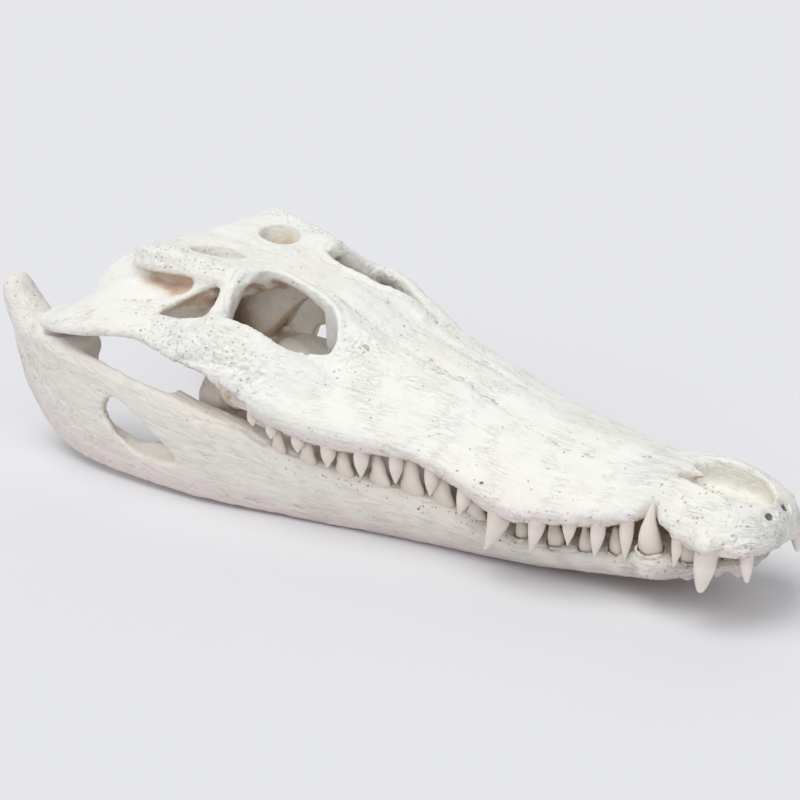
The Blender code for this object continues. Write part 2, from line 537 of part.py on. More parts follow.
def build_cranium():
    """The whole upper skull as one bone with its teeth."""
    pieces = [build_face(), build_roof(), build_table(), build_braincase()]
    occiput = plate('occiput', OCCIPUT, 12)
    cord = rod('cord', [point(0.95, 0, 0.110), point(1.06, 0, 0.108)], [0.0068, 0.0076], 4)
    cut(occiput, cord)
    pieces.append(occiput)
    pieces.append(ball('neck_knob', point(1.040, 0, 0.082), (0.0088, 0.0084, 0.0074)))
    wing = plate('wing', WING, 16)
    cut(wing, ball('inner_nostril', point(0.915, 0, 0.010), (0.0080, 0.0052, 0.0040)))
    pieces.append(wing)
    pieces.append(flat_bar('cheek', CHEEK, 30))
    pieces.append(flat_bar('quadrate', QUADRATE, 24))
    pieces.append(flat_bar('ear_floor', EAR_FLOOR, 8))
    pieces.append(flat_bar('ear_front', EAR_FRONT, 8))
    pieces.append(flat_bar('ear_inner', EAR_INNER, 8))
    pieces.append(flat_bar('deep_wall', DEEP_WALL, 12))
    pieces.append(ball('window_floor', point(0.915, 0.052, 0.128), (0.0248, 0.0168, 0.0064)))
    pieces.append(rod('eye_post', [point(0.852, 0.088, 0.156), point(0.845, 0.105, 0.143),
                                   point(0.838, 0.126, 0.125), point(0.828, 0.151, 0.107)],
                      [0.0060, 0.0064, 0.0064, 0.0080], 4))
    pieces.append(ball('orbit_knob', point(0.838, 0.048, 0.137), (0.0036, 0.0040, 0.0028)))
    pieces.append(rod('strut', [point(0.70, 0.170, 0.028), point(0.76, 0.160, 0.022),
                                point(0.82, 0.134, -0.004), point(0.85, 0.130, -0.024)],
                      [0.0064, 0.0058, 0.0054, 0.0054], 4))
    pieces.append(rod('strut_cheek', [point(0.79, 0.186, 0.062), point(0.78, 0.172, 0.040),
                                      point(0.80, 0.150, 0.012)], [0.0060, 0.0056, 0.0056], 4))
    pieces.append(rod('front_pillar', [point(0.668, 0.052, 0.116), point(0.690, 0.038, 0.080),
                                       point(0.705, 0.030, 0.024)], [0.0068, 0.0056, 0.0064], 4))
    pieces.append(rod('airway', [point(0.56, 0.010, 0.012), point(0.66, 0.012, 0.013),
                                 point(0.76, 0.014, 0.018), point(0.84, 0.012, 0.030)],
                      [0.0052, 0.0056, 0.0072, 0.0088], 4))
    pieces.append(rod('nasal_tongue', [point(0.176, 0, 0.0500), point(0.150, 0, 0.0555),
                                       point(0.113, 0, 0.0600)], [0.0044, 0.0035, 0.0012], 4))
    cranium = grow('cranium', pieces, CRANIUM_FACES, True)
    for number, row in enumerate(UPPER_TEETH):
        one = tooth('upper_tooth_%d' % number, row, False)
        worn = (*row[:3], WORN_LEFT.get(number, row[3]), *row[4:])
        other = tooth('other_tooth_%d' % number, worn, False)
        unite(cranium, mirror_copy(other))
        bpy.data.objects.remove(other)
        unite(cranium, one)
    return cranium


def mirror_copy(obj):
    """The same piece on the animal's other side."""
    bm = bmesh.new()
    bm.from_mesh(obj.data)
    bmesh.ops.scale(bm, vec=(1, -1, 1), verts=bm.verts)
    bmesh.ops.reverse_faces(bm, faces=bm.faces)
    mesh = bpy.data.meshes.new(obj.name + '_left')
    bm.to_mesh(mesh)
    bm.free()
    twin = bpy.data.objects.new(mesh.name, mesh)
    WORK.objects.link(twin)
    return twin


def build_jaw():
    """The right half of the lower jaw with its teeth."""
    rings = []
    for s, yo, zt, zb, yk, top, waist in stations(JAW, 48):
        height = zt - zb
        wall = yo - (yo - yk) * 0.30
        corners = [(yo - top, zt - 0.002), (yo - top * 0.5, zt + 0.001), (yo - 0.004, zt - 0.002),
                   (yo, zt - height * 0.30), (wall, zt - height * 0.70),
                   (yk + 0.006, zb + 0.003), (yk - 0.006, zb + 0.001),
                   (min(yk - 0.012, wall - waist * 0.8), zb + height * 0.18),
                   (wall - waist, zb + height * 0.45), (yo - top * 0.5 - waist * 0.5, zt - height * 0.25)]
        rings.append([point(s, y, z) for y, z in rounded(corners, 2)])
    body = loft('jaw_body', rings)
    outline = [(s, z) for s, z in SIDE_WINDOW]
    window = [[point(s, y, z) for s, z in outline] for y in (0.186, 0.26)]
    cut(body, loft('side_window', window))
    fossa = []
    for s, yi, yo, low in ((0.895, 0.171, 0.191, -0.060), (0.920, 0.165, 0.195, -0.085),
                           (0.98, 0.158, 0.203, -0.100), (1.05, 0.156, 0.205, -0.090),
                           (1.09, 0.164, 0.200, -0.050)):
        fossa.append([point(s, y, z) for y, z in ((yi, low), (yo, low), (yo - 0.002, 0.05), (yi, 0.05))])
    cut(body, loft('jaw_hollow', fossa))
    inner_gate = [[point(s, y, z) for s, z in ((0.91, -0.040), (0.95, 0.02), (1.100, 0.03),
                                                (1.092, -0.050), (1.02, -0.078), (0.95, -0.078))]
                  for y in (0.12, 0.18)]
    cut(body, loft('inner_gate', inner_gate))
    pieces = [body]
    pieces.append(rod('heel', [point(*row[:3]) for row in HEEL], [row[3] * LENGTH for row in HEEL], 4))
    pieces.append(rod('joint_shelf', [point(1.188, 0.196, 0.012), point(1.194, 0.168, 0.012),
                                      point(1.190, 0.134, 0.008)], [0.0090, 0.0110, 0.0070], 4))
    jaw = grow('mandible_right', pieces, JAW_FACES, False)
    for number, row in enumerate(LOWER_TEETH, 1):
        unite(jaw, tooth('lower_tooth_%d' % number, row, True))
    return jaw


def clear_contact(jaw, cranium):
    """Keep the halves of the lower jaw apart at the chin and fit the joint to the quadrate."""
    bm = bmesh.new()
    bm.from_mesh(cranium.data)
    for low, normal in ((point(1.07, 0, 0), (1, 0, 0)), (Vector((0, -0.02, 0)), (0, 1, 0))):
        geom = bm.verts[:] + bm.edges[:] + bm.faces[:]
        bmesh.ops.bisect_plane(bm, geom=geom, plane_co=low, plane_no=normal, clear_outer=True)
        bmesh.ops.holes_fill(bm, edges=[e for e in bm.edges if len(e.link_faces) == 1])
    bmesh.ops.triangulate(bm, faces=bm.faces)
    bm.normal_update()
    moves = [(v, v.normal.copy()) for v in bm.verts]
    for v, normal in moves:
        v.co += normal * 0.0006
    mesh = bpy.data.meshes.new('joint_clearance')
    bm.to_mesh(mesh)
    bm.free()
    knuckle = bpy.data.objects.new('joint_clearance', mesh)
    WORK.objects.link(knuckle)
    cut(jaw, knuckle)
    keep_largest(jaw)
    corners = ((-BITE_GAP / 2, -0.2), (0.05, -0.2), (0.05, 0.2), (-BITE_GAP / 2, 0.2))
    block = loft('midline_clearance', [[Vector((x, y, z)) for y, z in corners] for x in (-0.6, 0.1)])
    cut(jaw, block)


def wear_down(obj):
    """Shorten the rear process a little, as if its top had worn."""
    for v in obj.data.vertices:
        high = v.co.z / LENGTH - 0.030
        back = -v.co.x / LENGTH
        if high > 0 and back > 1.23:
            share = min((back - 1.23) / 0.03, 1.0)
            v.co.z -= 0.32 * high * LENGTH * share * share * (3 - 2 * share)


def paint(obj, name, colour):
    """Give a part its bone colour."""
    material = bpy.data.materials.new(name)
    material.use_nodes = True
    shader = material.node_tree.nodes['Principled BSDF']
    shader.inputs['Base Color'].default_value = colour
    shader.inputs['Roughness'].default_value = 0.55
    shader.inputs['Metallic'].default_value = 0.0
    obj.data.materials.clear()
    obj.data.materials.append(material)


def finish(obj, lean, shift):
    """Stand a part in the pose in which the skull rests, with tidy facets."""
    obj.data.transform(shift @ lean)
    bm = bmesh.new()
    bm.from_mesh(obj.data)
    bmesh.ops.dissolve_degenerate(bm, dist=0.00008, edges=bm.edges)
    bmesh.ops.triangulate(bm, faces=bm.faces)
    bmesh.ops.recalc_face_normals(bm, faces=bm.faces)
    bm.to_mesh(obj.data)
    bm.free()
    for face in obj.data.polygons:
        face.use_smooth = False
    for group in obj.users_collection:
        group.objects.unlink(obj)
    SKULL.objects.link(obj)


def main():
    cranium = build_cranium()
    right = build_jaw()
    clear_contact(right, cranium)
    left = mirror_copy(right)
    left.name = 'mandible_left'
    wear_down(left)
    lean = Matrix.Rotation(math.radians(PITCH), 4, 'Y')
    corners = [lean @ v.co for obj in (cranium, right, left) for v in obj.data.vertices]
    xs = [c.x for c in corners]
    shift = Matrix.Translation((-(max(xs) + min(xs)) / 2, 0, -min(c.z for c in corners)))
    for obj in (cranium, right, left):
        finish(obj, lean, shift)
    for cutter in CUTTERS.objects:
        cutter.data.transform(shift @ lean)
    paint(cranium, 'Upper skull bone', BONE_COLOUR)
    paint(right, 'Right lower jaw bone', JAW_COLOUR)
    paint(left, 'Left lower jaw bone', JAW_COLOUR)
    bpy.data.collections.remove(WORK)


for old in list(bpy.data.objects):
    bpy.data.objects.remove(old)
SKULL = bpy.data.collections.new('Crocodile skull')
CUTTERS = bpy.data.collections.new('Cutters')
WORK = bpy.data.collections.new('Workbench')
for group in (SKULL, CUTTERS, WORK):
    bpy.context.scene.collection.children.link(group)
main()
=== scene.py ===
"""Crocodile skull: bleached bone and teeth in finished detail, standing on a plain pale floor.

Places on the skull are fractions of its length: s runs back from the tip of the snout, y is the
distance from the midline and z the height above the palate. The animal's right side is at -Y.
The tables in fractions() and mixed() are written in thousandths of that length.
"""

import math

import bmesh
import bpy
import numpy as np
from bpy.props import FloatProperty, FloatVectorProperty, IntProperty, PointerProperty
from mathutils import Matrix, Vector
from mathutils.bvhtree import BVHTree


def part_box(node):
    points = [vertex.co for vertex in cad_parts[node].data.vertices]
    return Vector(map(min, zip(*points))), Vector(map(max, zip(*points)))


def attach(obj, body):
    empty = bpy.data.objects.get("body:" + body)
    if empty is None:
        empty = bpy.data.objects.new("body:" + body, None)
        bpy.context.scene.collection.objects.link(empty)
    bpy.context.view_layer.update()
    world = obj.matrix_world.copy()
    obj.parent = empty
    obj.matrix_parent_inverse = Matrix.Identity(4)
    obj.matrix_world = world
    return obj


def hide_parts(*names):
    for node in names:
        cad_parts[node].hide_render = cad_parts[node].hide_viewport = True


bl_info = {
    "name": "Crocodile skull",
    "version": (1, 0, 0),
    "blender": (4, 5, 0),
    "location": "3D View > Sidebar > Skull",
    "description": "Builds a bleached crocodile skull with its teeth and a plain studio",
    "category": "Add Mesh",
}

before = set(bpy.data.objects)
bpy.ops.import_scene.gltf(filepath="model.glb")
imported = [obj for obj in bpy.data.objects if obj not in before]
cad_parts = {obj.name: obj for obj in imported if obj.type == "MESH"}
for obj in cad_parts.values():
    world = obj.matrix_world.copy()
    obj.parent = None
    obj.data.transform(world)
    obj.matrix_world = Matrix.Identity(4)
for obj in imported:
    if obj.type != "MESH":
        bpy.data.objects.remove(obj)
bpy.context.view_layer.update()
SNOUT_TIP_X = float(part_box("cranium")[1][0])


def fractions(item):
    """Thousandths of the skull's length as fractions of it, all through a table."""
    if isinstance(item, dict):
        return {key: fractions(value) for key, value in item.items()}
    if isinstance(item, (list, tuple)):
        return type(item)(fractions(value) for value in item)
    return item / 1000


def mixed(count, rows):
    """Rows whose first columns are thousandths of the length, and the others plain numbers."""
    return [(*fractions(row[:count]), *row[count:]) for row in rows]


# Farther than any distance on the skull
FAR = 9.0
# In metres
MILLIMETRE = 0.001
FLOOR_RADIUS = 9.0
# Oval openings: s, y, half length, half width, turn
TABLE_WINDOW = (0.930, 0.058, 0.043, 0.027, 0.35)
NOTCH = (0.144, 0.088, 0.019, 0.025, 0.0)
# The bodies of the right half reach this far over the midline
MIDLINE = -0.004
# Eye opening: s and y of its outline
ORBIT = fractions([
    (845, 88), (838, 67), (820, 53), (795, 46.5), (760, 46.5), (722, 49.5), (693, 57), (670, 70),
    (657, 86), (661, 102), (682, 116), (713, 127), (745, 136), (785, 145), (820, 138), (838, 117),
])

# Levels of z between which the eye opening is cut, and its size factor at each
EYE_SHAFT = [(0.03, 1.0), (0.30, 1.0)]

# Snout and cheeks: s, half width, tooth margin, midline roof, shoulder y and z, wall y and z, palate
FACE = fractions([
    (3, 20, 12, 31, 9, 30, 16, 24, 16), (12, 44, 7, 45, 20, 43, 36, 29, 14),
    (30, 66, 6, 57, 34, 52, 55, 32, 14), (60, 81, 6, 67, 43, 62, 70, 36, 14),
    (90, 87, 10, 71, 46, 67, 76, 39, 15), (120, 82, 20, 65, 48, 68, 73, 47, 18),
    (148, 75, 18, 60, 45, 65, 68, 44, 18), (170, 81, 7, 60, 45, 61, 71, 37, 16),
    (200, 96, -2, 61, 46, 55, 81, 28, 14), (235, 113, -7, 64, 50, 54, 91, 26, 12),
    (270, 128, -12, 64, 52, 53, 101, 23, 12), (310, 137, -17, 66, 55, 55, 108, 24, 12),
    (345, 137, -16, 69, 56, 58, 108, 27, 13), (390, 133, -5, 74, 58, 65, 106, 33, 14),
    (440, 132, 3, 82, 60, 74, 106, 41, 15), (470, 136, 9, 88, 62, 82, 108, 48, 16),
    (520, 146, 6, 95, 63, 91, 116, 53, 16), (560, 155, 0, 101, 63, 100, 123, 57, 16),
    (600, 164, -3, 107, 64, 108, 129, 61, 15), (640, 174, -1, 117, 64, 123, 135, 66, 14),
    (680, 184, 6, 131, 64, 139, 139, 77, 12), (715, 190, 14, 142, 62, 148, 143, 88, 12),
])
# Hollow of the snout in front of and below the eye: s, inner y, outer y, top z
HOLLOW = fractions([
    (470, 55, 88, 10), (500, 46, 100, 32), (550, 42, 106, 52), (600, 41, 112, 60), (640, 41, 120, 64),
    (680, 41, 130, 72), (710, 41, 142, 90), (760, 41, 150, 120),
])
# Nostril: s and y of its outline
NOSTRIL = fractions([
    (33, -20), (34, 10), (41, 21), (58, 32), (86, 38), (108, 36), (124, 31), (137, 24), (144, 17),
    (143, 10), (134, 6), (130, -20),
])
# Bony roof between the eyes: s, half width, midline z, rim z, thickness
ROOF = fractions([
    (620, 60, 110, 116, 40), (680, 62, 134, 141, 40), (720, 56, 145, 151, 32), (760, 50, 154, 158, 26),
    (800, 50, 162, 164, 24), (825, 62, 167, 168, 24), (845, 82, 170, 168, 22), (870, 92, 171, 168, 22),
])
# Skull table: s, half width, midline z, edge z, thickness at the edge
TABLE = fractions([
    (828, 86, 166, 165, 14), (842, 101, 166, 170, 16), (870, 111, 166, 175, 20),
    (920, 119, 166, 179, 27), (970, 126, 167, 181, 31), (1006, 132, 169, 181, 31),
    (1030, 130, 168, 176, 29), (1046, 117, 162, 168, 22),
])
# Cheek bar: s, lower y and z, upper y and z, thickness
CHEEK = fractions([
    (620, 156, 10, 112, 72, 30), (670, 172, 14, 124, 93, 30), (715, 184, 24, 134, 105, 27),
    (765, 191, 47, 143, 121, 24), (820, 196, 58, 149, 124, 21), (870, 199, 60, 153, 110, 20),
    (910, 204, 70, 157, 101, 20), (950, 208, 76, 158, 98, 20), (1000, 215, 68, 163, 105, 22),
    (1060, 222, 56, 178, 95, 24), (1110, 226, 48, 196, 74, 26), (1148, 222, 44, 206, 56, 24),
])
# Quadrate: s, outer y and z, inner y and z, thickness
QUADRATE = fractions([
    (862, 112, 154, 100, 158, 10), (900, 131, 132, 100, 142, 12), (935, 148, 109, 102, 129, 15),
    (965, 160, 93, 104, 124, 20), (1010, 180, 91, 106, 122, 26), (1050, 198, 81, 110, 114, 31),
    (1090, 214, 66, 126, 92, 36), (1125, 222, 52, 142, 66, 37), (1156, 222, 48, 150, 51, 34),
    (1171, 218, 46, 154, 47, 28), (1178, 210, 45, 162, 46, 14),
])
# Floor of the ear recess: s, outer y and z, inner y and z, thickness
EAR_FLOOR = fractions([
    (880, 112, 132, 30, 124, 12), (930, 122, 118, 30, 120, 14), (980, 128, 114, 30, 118, 18),
    (1040, 130, 112, 30, 118, 20),
])
# Wall that closes the ear recess in front: s, lower y and z, upper y and z, thickness
EAR_FRONT = fractions([
    (850, 110, 148, 100, 166, 16), (885, 118, 140, 107, 166, 14), (905, 121, 134, 108, 164, 12),
    (920, 118, 130, 106, 160, 8),
])
# Inner wall of the ear recess: s, lower y and z, upper y and z, thickness
EAR_INNER = fractions([
    (885, 102, 124, 98, 164, 10), (940, 104, 116, 99, 166, 13), (990, 106, 114, 100, 166, 14),
    (1025, 104, 114, 100, 164, 16),
])
# Wall from the quadrate down to the braincase: s, lower y and z, upper y and z, thickness
DEEP_WALL = fractions([
    (900, 40, 40, 116, 130, 14), (940, 42, 30, 130, 110, 18), (980, 46, 30, 142, 96, 20),
    (1015, 54, 42, 150, 92, 20), (1040, 80, 64, 150, 90, 16),
])
# Braincase: s, top half width, waist half width and z, keel half width and z
BRAINCASE = fractions([
    (805, 20, 12, 135, 6, 118), (850, 36, 22, 130, 10, 85), (900, 44, 30, 110, 14, 40),
    (950, 60, 40, 110, 20, 16), (1000, 90, 46, 100, 30, 18), (1022, 95, 44, 95, 30, 24),
])
# Back wall of the skull from the midline out: y, front s, rear s, bottom z, top z
OCCIPUT = fractions([
    (-4, 980, 1034, 86, 166), (40, 980, 1034, 80, 166), (80, 985, 1042, 90, 167),
    (108, 1005, 1054, 100, 168), (126, 1018, 1080, 96, 150), (142, 1044, 1104, 90, 128),
    (156, 1070, 1108, 84, 104),
])
# Pterygoid wing from the midline out: y, front s, rear s, bottom z, top z
WING = fractions([
    (-4, 730, 985, 12, 30), (40, 755, 965, 8, 26), (80, 775, 935, -6, 14), (118, 795, 912, -30, -4),
    (135, 802, 900, -46, -10), (143, 822, 885, -44, -18),
])
# Lower jaw: s, outer y, top z, bottom z, keel y, width at the top and at mid height
JAW = fractions([
    (36, 22, -11, -24, 8, 26, 24), (48, 38, -12, -29, 13, 42, 34), (70, 52, -16, -38, 20, 56, 44),
    (100, 63, -21, -52, 28, 67, 50), (141, 84, -19, -70, 36, 88, 62), (170, 75, -28, -77, 42, 54, 46),
    (200, 79, -38, -83, 47, 46, 38), (250, 90, -47, -93, 55, 44, 34), (320, 102, -54, -106, 66, 43, 32),
    (400, 112, -46, -116, 79, 42, 31), (480, 124, -42, -123, 94, 42, 30),
    (580, 143, -41, -131, 116, 41, 30), (650, 158, -36, -136, 134, 42, 30),
    (720, 174, -26, -140, 152, 43, 30), (780, 190, -12, -143, 168, 38, 30),
    (850, 203, -3, -147, 182, 38, 30), (950, 213, 7, -152, 193, 42, 32),
    (1040, 218, 16, -156, 198, 50, 32), (1095, 222, 20, -158, 198, 66, 34),
    (1140, 222, 30, -157, 195, 76, 36), (1180, 214, 36, -151, 191, 74, 38),
    (1215, 204, 30, -140, 186, 60, 38), (1250, 196, 22, -120, 181, 48, 36),
    (1284, 190, 30, -88, 177, 38, 32), (1304, 186, 48, -46, 174, 30, 28),
])
# Rear process of the lower jaw: s, y, z, radius
HEEL = fractions([
    (1214, 170, -12, 32), (1250, 170, 8, 33), (1278, 170, 32, 31), (1292, 170, 50, 28),
    (1298, 170, 66, 24),
])
# Opening in the side of the lower jaw: s and z of its outline
SIDE_WINDOW = fractions([
    (1028, -50), (1012, -32), (985, -30), (945, -46), (905, -70), (880, -88), (888, -100), (925, -108),
    (965, -106), (1000, -92), (1024, -70),
])
# Opening in the inner side of the lower jaw: s and z of its outline
INNER_GATE = fractions([(910, -40), (950, 20), (1100, 30), (1092, -50), (1020, -78), (950, -78)])
# Hollow inside the lower jaw: s, inner y, outer y, bottom z
JAW_HOLLOW = fractions([
    (895, 171, 191, -60), (920, 165, 195, -85), (980, 158, 203, -100), (1050, 156, 205, -90),
    (1090, 164, 200, -50),
])
# Crown shapes: share of the length from foot to tip, share of the radius
CROWNS = {
    "cone": [(0.0, 1.0), (0.25, 0.87), (0.50, 0.64), (0.75, 0.36), (0.90, 0.17), (1.0, 0.04)],
    "bud": [(0.0, 1.0), (0.20, 0.99), (0.40, 0.90), (0.60, 0.69), (0.80, 0.39), (0.93, 0.18),
            (1.0, 0.04)],
    "peg": [(0.0, 1.0), (0.30, 0.92), (0.60, 0.71), (0.80, 0.50), (0.93, 0.33), (1.0, 0.10)],
    "spike": [(0.0, 1.0), (0.15, 0.97), (0.40, 0.77), (0.60, 0.51), (0.80, 0.28), (0.93, 0.13),
              (1.0, 0.03)],
    "leaf": [(0.0, 1.0), (0.10, 0.94), (0.24, 0.77), (0.36, 0.655), (0.50, 0.595), (0.66, 0.54),
             (0.80, 0.43), (0.92, 0.26), (1.0, 0.08)],
}
# Upper teeth: s, y and z of the root, length, radius, lean back, splay, crown
UPPER_TEETH = [
    (0.024, 0.050, 0.006, 0.029, 0.0080, -0.10, 0.10, "peg"),
    (0.060, 0.077, 0.008, 0.048, 0.0140, 0.06, 0.16, "peg"),
    (0.096, 0.081, 0.014, 0.035, 0.0080, 0.10, 0.10, "cone"),
    (0.172, 0.076, 0.008, 0.048, 0.0088, 0.00, 0.06, "bud"),
    (0.202, 0.091, 0.001, 0.043, 0.0094, 0.08, 0.10, "bud"),
    (0.233, 0.106, -0.003, 0.029, 0.0092, 0.05, 0.12, "cone"),
    (0.272, 0.119, -0.008, 0.044, 0.0118, 0.20, 0.16, "cone"),
    (0.328, 0.122, -0.012, 0.062, 0.0168, 0.38, 0.18, "cone"),
    (0.386, 0.122, -0.004, 0.038, 0.0108, 0.30, 0.10, "bud"),
    (0.442, 0.123, 0.004, 0.036, 0.0106, 0.12, 0.06, "bud"),
    (0.498, 0.131, 0.008, 0.038, 0.0106, 0.04, 0.06, "bud"),
    (0.550, 0.143, 0.003, 0.037, 0.0110, 0.04, 0.06, "bud"),
    (0.601, 0.154, 0.000, 0.033, 0.0112, 0.10, 0.04, "bud"),
    (0.648, 0.165, 0.002, 0.024, 0.0104, 0.10, 0.04, "bud"),
    (0.690, 0.175, 0.007, 0.019, 0.0090, 0.10, 0.04, "bud"),
    (0.722, 0.181, 0.015, 0.015, 0.0076, 0.00, 0.02, "bud"),
]
# Teeth of the left side that are worn down: place in the row of upper teeth, length left
WORN_LEFT = {1: 0.020}
# Lower teeth: s, y and z of the root, length, radius, lean back, splay, crown
LOWER_TEETH = [
    (0.054, 0.018, -0.022, 0.014, 0.0054, -0.20, 0.10, "cone"),
    (0.074, 0.034, -0.022, 0.018, 0.0060, -0.10, 0.14, "cone"),
    (0.102, 0.050, -0.024, 0.028, 0.0090, 0.00, 0.16, "peg"),
    (0.143, 0.067, -0.019, 0.066, 0.0146, -0.08, 0.26, "spike"),
    (0.193, 0.064, -0.040, 0.032, 0.0104, 0.10, 0.12, "peg"),
    (0.233, 0.072, -0.050, 0.038, 0.0096, 0.12, 0.14, "spike"),
    (0.274, 0.080, -0.053, 0.034, 0.0104, 0.16, 0.12, "bud"),
    (0.322, 0.088, -0.058, 0.032, 0.0090, 0.06, 0.10, "peg"),
    (0.388, 0.100, -0.047, 0.027, 0.0156, 0.00, 0.08, "leaf"),
    (0.438, 0.107, -0.042, 0.042, 0.0186, 0.04, 0.08, "leaf"),
    (0.487, 0.114, -0.040, 0.053, 0.0200, 0.00, 0.08, "leaf"),
    (0.535, 0.125, -0.040, 0.040, 0.0184, 0.10, 0.06, "leaf"),
    (0.590, 0.137, -0.040, 0.034, 0.0172, 0.06, 0.05, "leaf"),
    (0.647, 0.150, -0.036, 0.031, 0.0156, 0.00, 0.04, "leaf"),
    (0.693, 0.161, -0.030, 0.033, 0.0132, 0.12, 0.04, "leaf"),
]

# Seams between the bones of the upper skull, each a line of s, y and z
SKULL_SEAMS = fractions({
    "nose midline": [(600, 0, 108), (400, 0, 76), (170, 0, 66)],
    "nose side": [(607, 12, 111), (552, 22, 103), (507, 27, 94), (415, 30, 77), (327, 43, 62),
                  (279, 46, 55), (246, 41, 56), (190, 28, 61), (155, 14, 66)],
    "upper lip": [(246, 41, 56), (205, 68, 50), (170, 78, 36), (150, 76, 20)],
    "brow": [(760, 22, 156), (700, 30, 142), (640, 26, 122), (590, 30, 109), (552, 22, 103)],
    "tear bone": [(655, 82, 118), (610, 66, 110), (560, 52, 102), (515, 40, 94), (470, 30, 86)],
    "tear bone side": [(650, 118, 98), (617, 101, 95), (570, 90, 90), (520, 62, 90)],
    "cheek": [(716, 188, 53), (691, 180, 55), (641, 158, 57), (597, 133, 63), (570, 116, 74),
              (575, 100, 84)],
    "cheek rear": [(880, 162, 104), (930, 190, 94), (985, 212, 78), (1040, 222, 60)],
    "jaw hinge": [(962, 150, 118), (1015, 176, 108), (1051, 205, 89), (1102, 224, 66), (1140, 228, 52)],
    "table front": [(838, 0, 169), (852, 24, 171), (842, 40, 170), (868, 62, 172)],
    "table side": [(905, 88, 176), (915, 104, 176), (908, 119, 176)],
    "table rear": [(975, 66, 176), (1000, 60, 176), (1040, 54, 174)],
    "snout": [(430, 80, 72), (360, 70, 62), (290, 72, 54)],
    "palate midline": [(50, 0, 14), (400, 0, 14), (740, 0, 12)],
    "palate front": [(175, 0, 17), (150, 40, 17), (160, 70, 12)],
    "palate rear": [(430, 0, 15), (440, 24, 15), (500, 38, 15)],
    "back wall": [(1040, 0, 140), (1040, 40, 132), (1046, 70, 142), (1050, 80, 166)],
})
# Seams of the lower jaw
JAW_SEAMS = fractions({
    "rear": [(1254, 195, -35), (1190, 212, -22), (1128, 222, -18), (1082, 221, -12), (1052, 219, -20),
             (1012, 216, -28)],
    "lower": [(999, 206, -133), (904, 198, -133), (810, 184, -128), (720, 164, -122), (640, 146, -112)],
    "middle": [(880, 200, -88), (820, 190, -82), (760, 178, -76), (700, 164, -80)],
    "upper": [(960, 211, -36), (900, 204, -40), (850, 198, -30), (790, 188, -34)],
    "inner": [(950, 166, -20), (800, 150, -60), (600, 110, -80), (400, 76, -80), (220, 36, -62)],
})
# Small holes for vessels: s, y, z
SKULL_HOLES = fractions([
    (669, 25, 133), (619, 10, 117), (604, 13, 114), (633, 57, 121), (613, 65, 111), (479, 136, 31),
    (513, 143, 31), (499, 130, 42), (589, 146, 49), (623, 165, 40), (470, 119, 45), (291, 130, 10),
    (307, 132, 10), (298, 121, 20), (297, 104, 33), (280, 93, 37), (191, 67, 44), (157, 65, 49),
    (115, 76, 49), (40, 61, 42), (360, 125, 16), (392, 127, 20), (430, 125, 22), (225, 100, 16),
    (250, 112, 10), (75, 76, 30), (52, 68, 30), (100, 83, 34),
])
JAW_HOLES = fractions([
    (1199, 209, 2), (1159, 219, 10), (951, 206, 9), (1062, 209, -130), (110, 66, -36), (150, 76, -40),
    (175, 74, -46), (205, 76, -52), (240, 84, -60), (290, 93, -66), (345, 101, -66), (410, 111, -62),
    (470, 120, -60), (540, 134, -60), (600, 147, -60), (80, 56, -34),
])
# Long soft ridges (positive height) and furrows (negative): line of s, y, z; half width; height in mm
SKULL_RELIEF = mixed(2, [
    ([(850, 70, 172), (800, 54, 168), (740, 60, 156), (680, 76, 134)], 6, 0.7),
    ([(640, 52, 124), (560, 40, 103), (480, 38, 86), (400, 40, 72)], 7, 0.8),
    ([(610, 24, 112), (520, 16, 96), (420, 14, 80)], 5, 0.5),
    ([(650, 96, 108), (610, 82, 106), (570, 80, 96)], 7, 0.9),
    ([(860, 200, 64), (833, 199, 69), (809, 196, 74), (772, 188, 79), (741, 182, 78),
      (700, 174, 76)], 6, -1.5),
    ([(960, 160, 112), (1040, 190, 96), (1110, 214, 68)], 6, 0.7),
    ([(950, 172, 104), (1030, 204, 86), (1100, 224, 60)], 5, -0.7),
    ([(130, 40, 68), (90, 44, 70), (55, 36, 62), (36, 16, 56)], 5, 0.6),
    ([(300, 70, 53), (230, 60, 52), (180, 50, 56)], 10, -0.8),
])
JAW_RELIEF = mixed(2, [
    ([(1290, 184, 40), (1250, 194, -20), (1180, 204, -60)], 8, 0.8),
    ([(1240, 196, 4), (1180, 214, 18), (1100, 222, 6), (980, 214, -6)], 10, 0.9),
    ([(1250, 190, -46), (1160, 212, -60), (1080, 212, -80)], 6, -0.8),
    ([(1220, 192, -90), (1140, 204, -110), (1040, 206, -126)], 5, -0.8),
    ([(769, 180, -12), (733, 168, -22), (700, 160, -30), (660, 148, -34)], 5, -1.4),
    ([(830, 197, -16), (793, 190, -15), (765, 185, -16)], 2.5, -1.2),
])
# Rough patches: centre s, y, z; radius; height in mm; grain in mm
SKULL_ROUGH = mixed(4, [
    (612, 86, 106, 34, 2.1, 4.6), (800, 178, 86, 60, 1.4, 3.8), (730, 176, 70, 50, 1.1, 4.2),
    (880, 182, 84, 50, 1.2, 3.6), (960, 130, 174, 45, 0.9, 3.4), (860, 110, 170, 30, 0.8, 3.4),
    (40, 66, 20, 50, 0.6, 3.2), (300, 132, -6, 50, 0.6, 3.6), (855, 30, 90, 50, 1.3, 8.0),
    (960, 60, 60, 70, 1.1, 8.5), (450, 132, 6, 90, 0.4, 3.0), (220, 104, 4, 50, 0.6, 3.2),
])
JAW_ROUGH = mixed(4, [
    (1160, 206, -80, 90, 1.0, 6.5), (1230, 190, -30, 50, 0.9, 4.4), (1080, 206, -130, 70, 0.8, 3.8),
    (140, 66, -40, 60, 0.5, 3.6),
])


# ---------------------------------------------------------------- sizes and colours


def measure(name, about, default, **limits):
    """Setting that holds a length."""
    return FloatProperty(name=name, description=about, default=default, unit="LENGTH", **limits)


